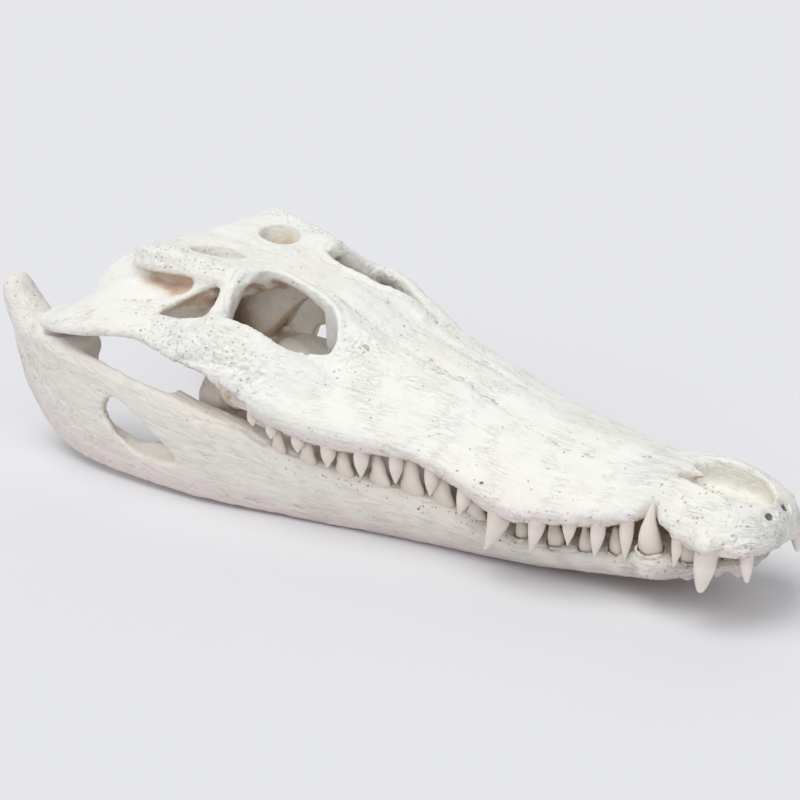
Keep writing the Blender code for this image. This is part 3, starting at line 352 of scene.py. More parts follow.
def paint(name, about, default):
    """Setting that holds a colour."""
    return FloatVectorProperty(name=name, description=about, subtype="COLOR", size=3, default=default)


class SkullSizes(bpy.types.PropertyGroup):
    """Sizes that place the skull and set how fine its surface is."""

    length: measure("Skull length", "Tip of the snout to the rear of the skull table", 0.400,
                    min=0.1, max=1.0)
    snout_reach: measure("Snout reach", "How far forward of the middle the snout starts",
                         SNOUT_TIP_X - 0.00012)
    palate_height: measure("Palate height", "Height of the palate at the tip of the snout", 0.03295)
    pitch: FloatProperty(name="Nose-down lean", default=math.radians(4.8), subtype="ANGLE",
                         description="Lean of the palate while the jaw rests on the floor")
    grain: measure("Surface grain", "Spacing of the surface before its last refinement", 0.0017,
                   min=0.0012, max=0.005)
    relief: FloatProperty(name="Relief", description="Strength of ridges, furrows and roughness",
                          default=1.0, min=0.0, max=2.0, subtype="FACTOR")
    tooth_sides: IntProperty(name="Tooth sides", description="Points around a tooth",
                             default=32, min=12, max=64)


class SkullColours(bpy.types.PropertyGroup):
    """Colours of bone, teeth and stage, and of the shade painted on the bone."""

    bone: paint("Bone", "Bleached outer bone", (0.840, 0.832, 0.784))
    jaw: paint("Jaw bone", "Bone of the lower jaw", (0.800, 0.770, 0.715))
    # The next two are painted shade: cream where the bone is sheltered, brown deep in the openings.
    sheltered_shade: paint("Cream", "Yellowish tint of sheltered bone", (0.790, 0.705, 0.560))
    hollow: paint("Hollow", "Brown tint deep in the openings", (0.600, 0.440, 0.330))
    # Painted shade, pinkish, on lower sides and downward faces.
    lower_side_shade: paint("Mauve", "Faint tint of lower edges", (0.715, 0.585, 0.580))
    # Real dirt in the seams, and painted shade in pits, holes and round open sockets.
    seam_dirt_and_pit_shade: paint("Crack", "Dirt in seams and pits", (0.150, 0.120, 0.090))
    tooth: paint("Tooth", "Enamel of the teeth", (0.850, 0.780, 0.725))
    tooth_root: paint("Tooth neck", "Darker neck of a tooth", (0.640, 0.540, 0.485))
    floor: paint("Floor", "Plain studio floor", (0.740, 0.740, 0.755))


# ---------------------------------------------------------------- making shapes


def stations(table, count):
    """Rows of a table, evened out to a given count with a curve that never overshoots."""
    rows = np.array(table, dtype=float)
    t = rows[:, 0]
    step = np.diff(t)
    slope = np.diff(rows, axis=0) / step[:, None]
    tangent = np.zeros_like(rows)
    tangent[0] = slope[0]
    tangent[-1] = slope[-1]
    for i in range(1, len(t) - 1):
        both = slope[i - 1] * slope[i]
        total = slope[i - 1] + slope[i]
        safe = np.where(np.abs(total) < 1e-9, 1.0, total)
        tangent[i] = np.where(both > 0, 2.0 * both / safe, 0.0)
    out = []
    for x in np.linspace(t[0], t[-1], count):
        i = int(np.clip(np.searchsorted(t, x) - 1, 0, len(step) - 1))
        h = step[i]
        u = (x - t[i]) / h
        row = (rows[i] * (1 + 2 * u) * (1 - u) ** 2 + tangent[i] * h * u * (1 - u) ** 2
               + rows[i + 1] * u * u * (3 - 2 * u) + tangent[i + 1] * h * u * u * (u - 1))
        row[0] = x
        out.append(row)
    return out


def rounded(corners, per_side):
    """A closed outline through the given corners, smoothed between them."""
    pts = np.array(corners, dtype=float)
    count = len(pts)
    out = []
    for i in range(count):
        a, b, c, d = pts[i - 1], pts[i], pts[(i + 1) % count], pts[(i + 2) % count]
        for k in range(per_side):
            u = k / per_side
            out.append((2 * b + (c - a) * u + (2 * a - 5 * b + 4 * c - d) * u * u
                        + (3 * b - a - 3 * c + d) * u ** 3) * 0.5)
    return out


def oval(s, y, half_s, half_y, turn):
    """Plan outline of an oval opening, turned so that its front end comes nearer the midline."""
    count = 56
    c, d = math.cos(turn), math.sin(turn)
    around = [2 * math.pi * i / count for i in range(count)]
    return [(s + half_s * math.cos(a) * c - half_y * math.sin(a) * d,
             y + half_s * math.cos(a) * d + half_y * math.sin(a) * c) for a in around]


def slab(low, high, thick):
    """Outline across a flat bar from its lower to its upper edge: y and z."""
    a = np.array(low)
    b = np.array(high)
    along = (b - a) / max(np.linalg.norm(b - a), 1e-6)
    side = np.array((-along[1], along[0])) * thick * 0.5
    mid = (a + b) / 2
    ends = along * thick * 0.35
    return rounded([a, a + ends - side * 0.85, mid - side * 1.1, b - ends - side * 0.85, b,
                    b - ends + side * 0.85, mid + side * 1.1, a + ends + side * 0.85], 4)


class Workbench:
    """Makes the bodies that a bone is grown from, on the animal's right side."""

    def __init__(self, context):
        self.scene = context.scene
        self.sizes = context.scene.skull_sizes
        self.colours = context.scene.skull_colours
        self.length = self.sizes.length
        self.rest = (Matrix.Translation((self.sizes.snout_reach, 0, self.sizes.palate_height))
                     @ Matrix.Rotation(self.sizes.pitch, 4, "Y"))

    def point(self, s, y, z):
        """A place on the right side, in metres, before the skull is laid down."""
        return Vector((-s, -y, z)) * self.length

    def section(self, s, corners, per_side=5):
        """A rounded outline across the skull, from corners of y and z."""
        return [self.point(s, y, z) for y, z in rounded(corners, per_side)]

    def add(self, name, bm):
        """A new object from a finished mesh."""
        mesh = bpy.data.meshes.new(name)
        bm.to_mesh(mesh)
        bm.free()
        obj = bpy.data.objects.new(name, mesh)
        self.scene.collection.objects.link(obj)
        return obj

    def loft(self, name, rings):
        """A closed body through a row of outlines with the same number of points."""
        bm = bmesh.new()
        rows = [[bm.verts.new(p) for p in ring] for ring in rings]
        count = len(rows[0])
        for near, far in zip(rows, rows[1:]):
            for i in range(count):
                j = (i + 1) % count
                bm.faces.new((near[i], near[j], far[j], far[i]))
        bm.faces.new(rows[0][::-1])
        bm.faces.new(rows[-1])
        bmesh.ops.recalc_face_normals(bm, faces=bm.faces)
        bmesh.ops.triangulate(bm, faces=[f for f in bm.faces if len(f.verts) > 4])
        return self.add(name, bm)

    def settle(self, obj):
        """Replace an object's mesh by what its modifiers make of it."""
        depsgraph = bpy.context.evaluated_depsgraph_get()
        mesh = bpy.data.meshes.new_from_object(obj.evaluated_get(depsgraph), depsgraph=depsgraph)
        old = obj.data
        obj.modifiers.clear()
        obj.data = mesh
        bpy.data.meshes.remove(old)

    def change(self, obj, kind, **values):
        """Put one modifier on an object and apply it."""
        modifier = obj.modifiers.new(kind.lower(), kind)
        for key, value in values.items():
            setattr(modifier, key, value)
        self.settle(obj)

    def cut(self, obj, cutter, keep=False):
        """Take a body away from another."""
        self.change(obj, "BOOLEAN", operation="DIFFERENCE", solver="EXACT", object=cutter)
        if not keep:
            bpy.data.objects.remove(cutter)

    def rod(self, name, places, radii, sides=20):
        """A round bar with rounded ends through the given places, with a radius at each."""
        spots = [self.point(*p) for p in places]
        radii = [r * self.length for r in radii]
        rings = []
        side = (spots[1] - spots[0]).orthogonal()
        for i, spot in enumerate(spots):
            ahead = (spots[min(i + 1, len(spots) - 1)] - spots[max(i - 1, 0)]).normalized()
            side = (side - ahead * side.dot(ahead)).normalized()
            up = ahead.cross(side)
            steps = [(0.0, 1.0)]
            if i == 0:
                steps = [(-0.80, 0.30), (-0.55, 0.75), (0.0, 1.0)]
            if i == len(spots) - 1:
                steps = [(0.0, 1.0), (0.55, 0.75), (0.80, 0.30)]
            for push, size in steps:
                centre = spot + ahead * push * radii[i]
                rings.append([centre + (side * math.cos(a) + up * math.sin(a)) * radii[i] * size
                              for a in (2 * math.pi * k / sides for k in range(sides))])
        return self.loft(name, rings)

    def ball(self, name, centre, radii):
        """An ellipsoid with its half sizes along s, y and z."""
        bm = bmesh.new()
        bmesh.ops.create_icosphere(bm, subdivisions=4, radius=1.0)
        bm.transform(Matrix.Translation(self.point(*centre))
                     @ Matrix.Diagonal([r * self.length for r in radii] + [1.0]))
        return self.add(name, bm)

    def pierce(self, obj, name, outline, levels):
        """Cut an opening with a plan outline of s and y, and a size factor at each level of z."""
        middle = np.mean(outline, axis=0)
        self.cut(obj, self.loft(name, [[self.point(*(middle + (np.array(p) - middle) * grow), z)
                                        for p in outline] for z, grow in levels]))

    def plate(self, name, table, count):
        """A wing that runs outward from the midline: rows of y, front s, rear s, bottom and top z."""
        rings = []
        for y, front, rear, low, high in stations(table, count):
            mid = (front + rear) / 2
            soft = (rear - front) * 0.06
            corners = [(front, (low + high) / 2), (front + soft, high), (mid, high), (rear - soft, high),
                       (rear, (low + high) / 2), (rear - soft, low), (mid, low), (front + soft, low)]
            rings.append([self.point(s, y, z) for s, z in rounded(corners, 4)])
        return self.loft(name, rings)

    def flat_bar(self, name, table, count):
        """A flat bar that runs lengthwise: rows of s, lower y z, upper y z, thickness."""
        return self.loft(name, [[self.point(s, y, z) for y, z in slab((y0, z0), (y1, z1), thick)]
                                for s, y0, z0, y1, z1, thick in stations(table, count)])

    def grow(self, name, bodies, both_sides):
        """Grow overlapping bodies into one bone with a fine, even surface."""
        bm = bmesh.new()
        for body in bodies:
            bm.from_mesh(body.data)
            bpy.data.objects.remove(body)
        obj = self.add(name, bm)
        if both_sides:
            self.change(obj, "MIRROR", use_axis=(False, True, False), use_mirror_merge=False)
        self.change(obj, "REMESH", mode="VOXEL", voxel_size=self.sizes.grain)
        self.change(obj, "SMOOTH", factor=0.5, iterations=6)
        keep_largest(obj)
        shelter(obj)
        self.change(obj, "SUBSURF", levels=1, render_levels=1)
        return obj


def keep_largest(obj):
    """Drop any crumb that is not joined to the main body."""
    bm = bmesh.new()
    bm.from_mesh(obj.data)
    seen = set()
    best = []
    for start in bm.verts:
        if start in seen:
            continue
        stack = [start]
        seen.add(start)
        group = []
        while stack:
            v = stack.pop()
            group.append(v)
            for edge in v.link_edges:
                w = edge.other_vert(v)
                if w not in seen:
                    seen.add(w)
                    stack.append(w)
        if len(group) > len(best):
            best = group
    kept = set(best)
    bmesh.ops.delete(bm, geom=[v for v in bm.verts if v not in kept], context="VERTS")
    bm.to_mesh(obj.data)
    bm.free()


def store(mesh, name, values):
    """Keep a number for each point of a mesh, for its material to read."""
    layer = mesh.attributes.get(name) or mesh.attributes.new(name, "FLOAT", "POINT")
    layer.data.foreach_set("value", np.asarray(values, np.float32))


def shelter(obj):
    """Store how enclosed each point is, from open (0) to deep in a hollow (1); the material paints shade
    by it.
    """
    reach, clearance, grazing = 0.045, 0.0008, 0.15
    mesh = obj.data
    tree = BVHTree.FromPolygons([v.co for v in mesh.vertices], [p.vertices for p in mesh.polygons])
    sphere = bmesh.new()
    bmesh.ops.create_icosphere(sphere, subdivisions=2, radius=1.0)
    ways = [v.co.normalized() for v in sphere.verts]
    sphere.free()
    values = np.zeros(len(mesh.vertices), np.float32)
    for i, v in enumerate(mesh.vertices):
        normal = v.normal
        start = v.co + normal * clearance
        total = 0.0
        blocked = 0.0
        for way in ways[::2]:
            facing = normal.dot(way)
            if facing > grazing:
                total += facing
                hit = tree.ray_cast(start, way, reach)
                if hit[0] is not None:
                    blocked += facing * (1.0 - 0.5 * hit[3] / reach)
        values[i] = blocked / max(total, 1e-6)
    store(mesh, "hollow", values)


class Ripple:
    """Smooth random values in space, from -1 to 1, the same on every run."""

    def __init__(self, seed):
        self.table = (np.random.default_rng(seed).random(8192) * 2 - 1).astype(np.float32)

    def at(self, places, size):
        """One octave with lumps of the given size."""
        q = places / size
        cell = np.floor(q).astype(np.int64)
        f = (q - cell).astype(np.float32)
        f = f * f * (3 - 2 * f)
        total = 0.0
        for dx in (0, 1):
            wx = f[:, 0] if dx else 1 - f[:, 0]
            for dy in (0, 1):
                wy = f[:, 1] if dy else 1 - f[:, 1]
                for dz in (0, 1):
                    wz = f[:, 2] if dz else 1 - f[:, 2]
                    key = ((cell[:, 0] + dx) * 73856093 ^ (cell[:, 1] + dy) * 19349663
                           ^ (cell[:, 2] + dz) * 83492791) & 8191
                    total = total + self.table[key] * wx * wy * wz
        return total

    def rough(self, places, size, octaves=3):
        """Several octaves, each half the size of the last."""
        total = 0.0
        for k in range(octaves):
            total = total + self.at(places + 7.3 * k, size / 2 ** k) / 2 ** k
        return total

    def worms(self, places, size):
        """Branching ridges with narrow valleys, from 0 to 1."""
        a = np.abs(self.at(places, size))
        b = np.abs(self.at(places + 3.1, size * 0.6))
        return np.clip(1 - 2.2 * np.minimum(a, b * 1.2), 0, 1)


def line_distance(places, line):
    """Distance from each place to a line through a few points."""
    best = np.full(len(places), FAR, np.float32)
    for a, b in zip(line, line[1:]):
        a = np.array(a, np.float32)
        d = np.array(b, np.float32) - a
        t = np.clip(((places - a) @ d) / (d @ d), 0, 1)
        best = np.minimum(best, np.linalg.norm(places - a - t[:, None] * d, axis=1))
    return best


def hump(distance, width):
    """Bell-shaped falloff."""
    return np.exp(-(distance / width) ** 2)


def step(x, low, high):
    """Smooth step from 0 to 1."""
    t = np.clip((x - low) / (high - low), 0, 1)
    return t * t * (3 - 2 * t)


class Sculptor:
    """Works ridges, furrows, pores and seams into a grown bone, and lays it down."""

    def __init__(self, bench, obj, seed):
        self.bench = bench
        self.obj = obj
        count = len(obj.data.vertices)
        self.co, self.normal = np.empty((2, count, 3), np.float32)
        obj.data.vertices.foreach_get("co", self.co.reshape(-1))
        obj.data.vertices.foreach_get("normal", self.normal.reshape(-1))
        unit = self.co / bench.length
        self.place = np.stack([-unit[:, 0], np.abs(unit[:, 1]), unit[:, 2]], axis=1)
        self.s, self.y, self.z = self.place.T
        self.up = self.normal[:, 2]
        self.out = self.normal[:, 1] * np.sign(unit[:, 1])
        self.lift = np.zeros(count, np.float32)
        self.ripple = Ripple(seed)
        self.power = bench.sizes.relief * MILLIMETRE
        wobble = [self.ripple.rough(self.co + k, 0.010) for k in (0.0, 5.0, 9.0)]
        self.wavy = self.place + np.stack(wobble, axis=1) * 0.0042
        jag = [self.ripple.rough(self.co + k, 0.0034, 2) for k in (2.0, 6.0, 8.0)]
        self.jagged = self.wavy + np.stack(jag, axis=1) * 0.0032

    def away(self, spot):
        """Distance from each place to a spot."""
        return np.linalg.norm(self.place - np.array(spot, np.float32), axis=1)

    def relief(self, lines):
        """Long soft ridges and furrows."""
        for line, width, height in lines:
            self.lift += self.power * height * hump(line_distance(self.wavy, line), width)

    def roughen(self, patches):
        """Rough patches of branching ridges."""
        for s, y, z, radius, height, grain in patches:
            worms = self.ripple.worms(self.co, grain * MILLIMETRE)
            self.lift += self.power * height * hump(self.away((s, y, z)), radius) * (worms - 0.55)

    def lumps(self, share):
        """Soft unevenness of several sizes."""
        for size, height in ((0.018, 0.36), (0.0075, 0.17), (0.0034, 0.09)):
            self.lift += self.power * share * height * self.ripple.rough(self.co + size * 99, size, 2)

    def seams(self, lines):
        """Fine jagged lines between the bones."""
        best = np.full(len(self.s), FAR, np.float32)
        for line in lines.values():
            best = np.minimum(best, line_distance(self.jagged, line))
        self.lift -= self.power * 0.28 * hump(best, 0.0022)
        store(self.obj.data, "seam", best * self.bench.length)

    def holes(self, spots):
        """Small holes for vessels, and where to paint their shade."""
        best = np.full(len(self.s), FAR, np.float32)
        for spot in spots:
            best = np.minimum(best, np.linalg.norm(self.wavy - np.array(spot, np.float32), axis=1))
        self.lift -= self.power * 0.7 * hump(best, 0.0020)
        store(self.obj.data, "hole", best * self.bench.length)

    def pit(self, spot, reach, depth):
        """One wide hole, and where to paint its shade."""
        away = self.away(spot)
        self.lift -= self.power * depth * hump(away, reach)
        rim = np.maximum(away - reach * 0.75, 0) * self.bench.length + 0.0003
        store(self.obj.data, "hole", np.minimum(self.read("hole"), rim))

    def sockets(self, teeth, way):
        """A raised collar round each tooth, a ring of painted shade round each open socket, and soft
        swellings over the roots.
        """
        ring = np.full(len(self.s), FAR, np.float32)
        cuff = np.zeros(len(self.s), np.float32)
        for s, y, z, _, radius, _, _, crown in teeth:
            flat = np.hypot(self.s - s, self.y - y)
            level = (self.z - z) * way
            if has_socket(way, crown):
                ring = np.minimum(ring, np.hypot(flat - radius, np.maximum(np.abs(level) - 0.005, 0)))
            cuff = np.maximum(cuff, hump(flat, radius + 0.010) * hump(level, 0.016))
            root = hump(flat, radius * 1.3 + 0.004) * hump(level + 0.034, 0.026)
            self.lift += self.power * 0.30 * root * step(self.out, 0.2, 0.7)
        height = 0.3 if way > 0 else 0.9
        self.lift += self.power * height * cuff * (self.ripple.worms(self.co, 0.0030) - 0.6)
        store(self.obj.data, "socket", ring * self.bench.length)

    def grain(self, run, across, depth, stretch, height, size=0.0034):
        """Fine wrinkles that run with the grain of the bone."""
        drawn = np.stack([run * stretch, across, depth], axis=1) * self.bench.length
        bend = [self.ripple.at(self.co + k, 0.012) for k in (1.0, 4.0, 6.0)]
        drawn = drawn + np.stack(bend, axis=1) * 0.0016
        calm = 0.45 + 0.55 * step(self.ripple.at(self.co + 11.0, 0.030), -0.3, 0.3)
        self.lift += self.power * height * calm * (self.ripple.worms(drawn, size) - 0.55)

    def read(self, name):
        """The numbers kept under a name."""
        values = np.empty(len(self.s), np.float32)
        self.obj.data.attributes[name].data.foreach_get("value", values)
        return values

    def paint_shade(self, amount):
        """Paint more shade into sheltered places; a negative amount paints light there instead."""
        store(self.obj.data, "hollow", np.clip(self.read("hollow") + amount, 0, 1))

    def fibre(self, run, across, depth):
        """Store which way the grain of the bone runs."""
        mesh = self.obj.data
        layer = mesh.attributes.new("fibre", "FLOAT_VECTOR", "POINT")
        values = np.stack([run, across, depth], axis=1) * self.bench.length
        layer.data.foreach_set("vector", values.astype(np.float32).ravel())

    def finish(self, material):
        """Move the surface by what was worked in, and lay the bone down where it rests."""
        co = self.co + self.normal * self.lift[:, None]
        turn = np.array(self.bench.rest)
        co = co @ turn[:3, :3].T + turn[:3, 3]
        co[:, 2] = np.maximum(co[:, 2], 0.0)
        mesh = self.obj.data
        mesh.vertices.foreach_set("co", co.astype(np.float32).ravel())
        mesh.polygons.foreach_set("use_smooth", np.ones(len(mesh.polygons), bool))
        mesh.materials.clear()
        mesh.materials.append(material)
        mesh.update()
        return self.obj


# ---------------------------------------------------------------- shader sums


class Wire:
    """One output of a shader node. Sums on it add Math nodes."""

    def __init__(self, tree, socket=None):
        self.tree = tree
        self.socket = socket

    def feed(self, slot, item):
        """Link a wire to a socket, or set its value."""
        if isinstance(item, Wire):
            self.tree.links.new(item.socket, slot)
        else:
            slot.default_value = item

    def node(self, kind, settings=None, out=0, **inputs):
        """Add a node: its settings first, then the values or links of its sockets."""
        made = self.tree.nodes.new(kind)
        for key, value in (settings or {}).items():
            setattr(made, key, value)
        for key, item in inputs.items():
            slot = made.inputs[int(key[1:])] if key[1:].isdigit() else made.inputs[key.replace("_", " ")]
            self.feed(slot, item)
        return Wire(self.tree, made.outputs[out])

    def math(self, operation, *items):
        """One Math node."""
        inputs = {"i%d" % k: item for k, item in enumerate(items)}
        return self.node("ShaderNodeMath", {"operation": operation}, **inputs)

    def __add__(self, other):
        return self.math("ADD", self, other)

    def __sub__(self, other):
        return self.math("SUBTRACT", self, other)

    def __rsub__(self, other):
        return self.math("SUBTRACT", other, self)

    def __mul__(self, other):
        return self.math("MULTIPLY", self, other)

    def __pow__(self, other):
        return self.math("POWER", self, other)

    __radd__ = __add__

    def size(self):
        """The value without its sign."""
        return self.math("ABSOLUTE", self)

    def between(self, low, high, start=0.0, end=1.0):
        """Smooth ramp from start to end while the value goes from low to high."""
        return self.node("ShaderNodeMapRange", {"interpolation_type": "SMOOTHSTEP"}, Value=self,
                         From_Min=low, From_Max=high, To_Min=start, To_Max=end)

    def tint(self, base, colour):
        """Mix a colour over another by this value."""
        return self.node("ShaderNodeMix", {"data_type": "RGBA"}, 2, i0=self, i6=base, i7=colour)

    def scaled(self, factors):
        """A vector multiplied by another."""
        return self.node("ShaderNodeVectorMath", {"operation": "MULTIPLY"}, i0=self, i1=factors)

    def noise(self, scale, detail=3.0, rough=0.5, warp=0.0):
        """Cloudy value from 0 to 1 at this place."""
        return self.node("ShaderNodeTexNoise", None, 0, Vector=self, Scale=scale, Detail=detail,
                         Roughness=rough, Distortion=warp)

    def cells(self, scale, out):
        """Voronoi cells at this place: distance (0) or a colour of each cell (1)."""
        return self.node("ShaderNodeTexVoronoi", None, out, Vector=self, Scale=scale)

    def bump(self):
        """A normal bent by this height in millimetres."""
        return self.node("ShaderNodeBump", None, 0, Strength=1.0, Distance=MILLIMETRE, Height=self)

    def stored(self, name, out=2):
        """A number (2) or vector (1) kept with each point of the mesh."""
        return self.node("ShaderNodeAttribute", {"attribute_name": name}, out)


def solid(colour):
    """A colour with its alpha."""
    return (*colour, 1.0)


def toned(colour, *factors):
    """A colour made darker: by one factor, or by one for each channel."""
    return solid([c * f for c, f in zip(colour, factors * (3 // len(factors)))])


def new_material(name):
    """An empty material and a wire to start from."""
    material = bpy.data.materials.new(name)
    material.use_nodes = True
    tree = material.node_tree
    shader = tree.nodes["Principled BSDF"]
    return material, Wire(tree), shader


def bone_material(name, colours, base, streaks, lower_side_shade):
    """Bleached bone: pores, grain and dirty seams, with painted shade in pits, holes, creases, hollows and
    on lower sides.
    """
    material, start, shader = new_material(name)
    place = start.node("ShaderNodeTexCoord", None, 3)
    fibre = start.stored("fibre", 1)
    # hollow, low, hole and socket say where shade is painted; seam says where the dirt goes.
    hollow, seam, hole, socket, pitted, low = (
        start.stored(name) for name in ("hollow", "seam", "hole", "socket", "pitted", "low"))

    broad = place.noise(14.0, 3.0)
    mottle = place.noise(85.0, 4.0, 0.6)
    fine = place.noise(620.0, 3.0, 0.6)
    grit = place.noise(1900.0, 2.0)
    grain = fibre.scaled((12.0, 330.0, 330.0)).noise(1.0, 3.0, 0.55, 0.1)
    hairs = fibre.scaled((34.0, 1050.0, 1050.0)).noise(1.0, 2.0, 0.5, 0.1)
    patchy = place.noise(24.0, 2.0).between(0.40, 0.62, 0.15, 1.0)
    scratch = hairs.between(0.58, 0.74) * patchy * streaks
    furrow = (1 - grain.between(0.30, 0.44)) * patchy * streaks
    wrinkle = fibre.scaled((70.0, 460.0, 460.0)).noise(1.0, 3.0, 0.55, 0.5)
    # Narrow creases, which the colour list below paints darker as shade in them.
    crease = 1 - (wrinkle - 0.5).size().between(0.0, 0.055)
    crease = crease * place.noise(60.0, 2.0).between(0.40, 0.60)

    wander = place.noise(30.0, 2.0)
    middle = place.cells(500.0, 0)
    shade = place.cells(500.0, 1)
    pick, size = (start.node("ShaderNodeSeparateColor", None, k, Color=shade) for k in (0, 1))
    chance = pitted * wander.between(0.35, 0.62, 0.35, 1.0)
    chosen = (pick - 1.0 + chance).between(-0.02, 0.02)
    reach = size ** 3.0 * 0.20 + 0.085 + pitted * 0.065
    pore = (1 - (middle - reach).between(-0.06, 0.20)) * chosen
    # The core of a pore is painted dark as the shade inside it.
    core = (1 - (middle - reach).between(-0.08, 0.06)) * chosen

    fade = place.noise(42.0, 2.0).between(0.38, 0.62, 0.35, 1.0)
    # Seam lines, darkened with real dirt.
    seam_dirt_and_pit_shade = (1 - seam.between(0.00025, 0.00095)) * fade
    trench = 1 - seam.between(0.0, 0.0022)
    # Painted shade in vessel holes and wide pits.
    drill = 1 - hole.between(0.00030, 0.00075)
    # Painted shade in the open gap round each socket.
    ring = 1 - socket.between(0.0002, 0.0012)

    colour = broad.between(0.38, 0.66).tint(solid(base), toned(base, 0.985, 0.975, 0.95))
    for amount, over in ((mottle.between(0.50, 0.72) * 0.30, toned(base, 0.93, 0.91, 0.86)),
                         # Painted shade, pinkish, on lower sides and downward faces
                         (low * lower_side_shade, solid(colours.lower_side_shade)),
                         # Painted shade, cream then brown, by how enclosed each point is
                         (hollow.between(0.12, 0.44) * 0.70, solid(colours.sheltered_shade)),
                         (hollow.between(0.34, 0.72) * 0.85, solid(colours.hollow)),
                         (furrow * 0.12, toned(base, 0.60)),
                         (scratch * 0.18, toned(base, 0.50)),
                         # Painted shade in the creases
                         (crease * 0.09, toned(base, 0.50)),
                         # Painted shade round open sockets
                         (ring * 0.45, solid(colours.seam_dirt_and_pit_shade)),
                         # Real dirt in the seams
                         (seam_dirt_and_pit_shade * 0.42, solid(colours.seam_dirt_and_pit_shade)),
                         # Painted shade in pores and holes
                         (core * 0.50, solid(colours.seam_dirt_and_pit_shade)),
                         (drill * 0.85, toned(colours.seam_dirt_and_pit_shade, 0.5))):
        colour = amount.tint(colour, over)
    start.feed(shader.inputs["Base Color"], colour)

    rough = 0.50 + (mottle - 0.5) * 0.16 + pore * 0.20 + scratch * 0.10
    start.feed(shader.inputs["Roughness"], rough)
    height = (fine * 0.30 + grit * 0.060 + mottle * 0.36 + grain * 0.55 * streaks - scratch * 0.14
              - crease * 0.16 - pore * 0.26 - core * 0.20 - seam_dirt_and_pit_shade * 0.22 - trench * 0.10 - drill * 0.7)
    start.feed(shader.inputs["Normal"], height.bump())
    shader.inputs["Metallic"].default_value = 0.0
    shader.inputs["Specular IOR Level"].default_value = 0.42
    return material


def tooth_material(name, colours):
    """Enamel with fine streaks along the crown and a darker neck."""
    material, start, shader = new_material(name)
    place = start.node("ShaderNodeTexCoord", None, 3)
    along = start.stored("along")
    around = start.stored("fibre", 1)
    streak = around.scaled((2.2, 60.0, 60.0)).noise(1.0, 4.0, 0.65)
    cloud = place.noise(160.0, 3.0)
    neck = 1 - along.between(-0.05, 0.34)
    tip = along.between(0.55, 0.95)
    colour = (cloud * 0.6).tint(solid(colours.tooth), toned(colours.tooth, 0.94, 0.90, 0.84))
    for amount, over in ((tip * 0.35, (0.90, 0.85, 0.80)), (neck * 0.55, colours.tooth_root),
                         (streak.between(0.52, 0.70) * 0.30, colours.tooth_root)):
        colour = amount.tint(colour, solid(over))
    start.feed(shader.inputs["Base Color"], colour)
    start.feed(shader.inputs["Roughness"], 0.24 + neck * 0.22 + streak * 0.14)
    start.feed(shader.inputs["Normal"], (streak * 0.10 + cloud * 0.04).bump())
    shader.inputs["Specular IOR Level"].default_value = 0.5
    return material


# ---------------------------------------------------------------- the bones


def has_socket(way, crown):
    """Whether an open gap shows round the foot of a tooth."""
    return way > 0 and crown != "leaf"


def collars(bench, body, rows, way):
    """Low swellings of bone round the teeth, with an open socket for the front lower ones."""
    made = []
    pits = bmesh.new()
    for number, (s, y, z, _, radius, _, _, crown) in enumerate(rows):
        if crown == "leaf":
            continue
        thick = radius + (0.0012 if way < 0 else 0.0022)
        top = z - way * (0.8 * thick - 0.0012)
        deep = 0.010 if way > 0 else 0.003
        collar = [(s, y, top - way * deep), (s, y, top)]
        made.append(bench.rod("collar_%d" % number, collar, [thick] * 2, 18))
        if has_socket(way, crown):
            wide = radius + 0.0016
            foot = z + way * (0.8 * wide - 0.009)
            pit = bench.rod("pit_%d" % number, [(s, y, foot), (s, y, z + way * 0.040)], [wide] * 2, 24)
            pits.from_mesh(pit.data)
            bpy.data.objects.remove(pit)
    if way > 0:
        cutter = bench.add("pits", pits)
        for piece in [body] + made:
            bench.cut(piece, cutter, keep=True)
        bpy.data.objects.remove(cutter)
    return made


def face_body(bench):
    """Snout, upper jaw and the bone in front of the eyes."""
    rings = []
    for s, w, zm, zt, ys, zs, yb, zb, zp in stations(FACE, 150):
        bulge = 0.004 - 0.010 * math.exp(-((s - 0.638) / 0.030) ** 2)
        corners = [(MIDLINE, zt), (ys * 0.5, (zt + zs) / 2 + 0.0015), (ys, zs),
                   ((ys + yb) / 2 + 0.003, (zs + zb) / 2 + bulge), (yb, zb),
                   (w - 0.001, (zb + zm) / 2 + 0.002), (w, zm + 0.008), (w - 0.006, zm),
                   (w - 0.020, zm + 0.003), (w * 0.5, zp - 0.001), (MIDLINE, zp)]
        rings.append(bench.section(s, corners))
    face = bench.loft("face", rings)
    hollow = []
    for s, yi, yo, zt in stations(HOLLOW, 30):
        corners = [(yi, -0.06), (yi, zt * 0.5), (yi + 0.012, zt - 0.004), ((yi + yo) / 2, zt),
                   (yo - 0.014, zt - 0.012), (yo, zt * 0.35), (yo, -0.06)]
        hollow.append([bench.point(s, y, z) for y, z in corners])
    bench.cut(face, bench.loft("hollow", hollow))
    bench.pierce(face, "eye_opening", rounded(ORBIT, 4), EYE_SHAFT)
    bench.pierce(face, "nostril", rounded(NOSTRIL, 4),
                 [(0.0350, 0.72), (0.0375, 0.88), (0.0420, 0.97), (0.0500, 1.0), (0.12, 1.02)])
    bench.pierce(face, "tooth_notch", oval(*NOTCH), [(-0.08, 1.0), (0.044, 0.9)])
    return face


def roof_body(bench):
    """Bone between the eyes, rising to the skull table."""
    rings = []
    for s, w, zt, zr, thick in stations(ROOF, 50):
        corners = [(MIDLINE, zt), (w * 0.5, (zt + zr) / 2 - 0.001), (w - 0.005, zr), (w, zr - 0.006),
                   (w - 0.008, zr - thick * 0.7), (w * 0.4, zt - thick), (MIDLINE, zt - thick)]
        rings.append(bench.section(s, corners))
    roof = bench.loft("roof", rings)
    bench.pierce(roof, "eye_opening", rounded(ORBIT, 4), EYE_SHAFT)
    return roof


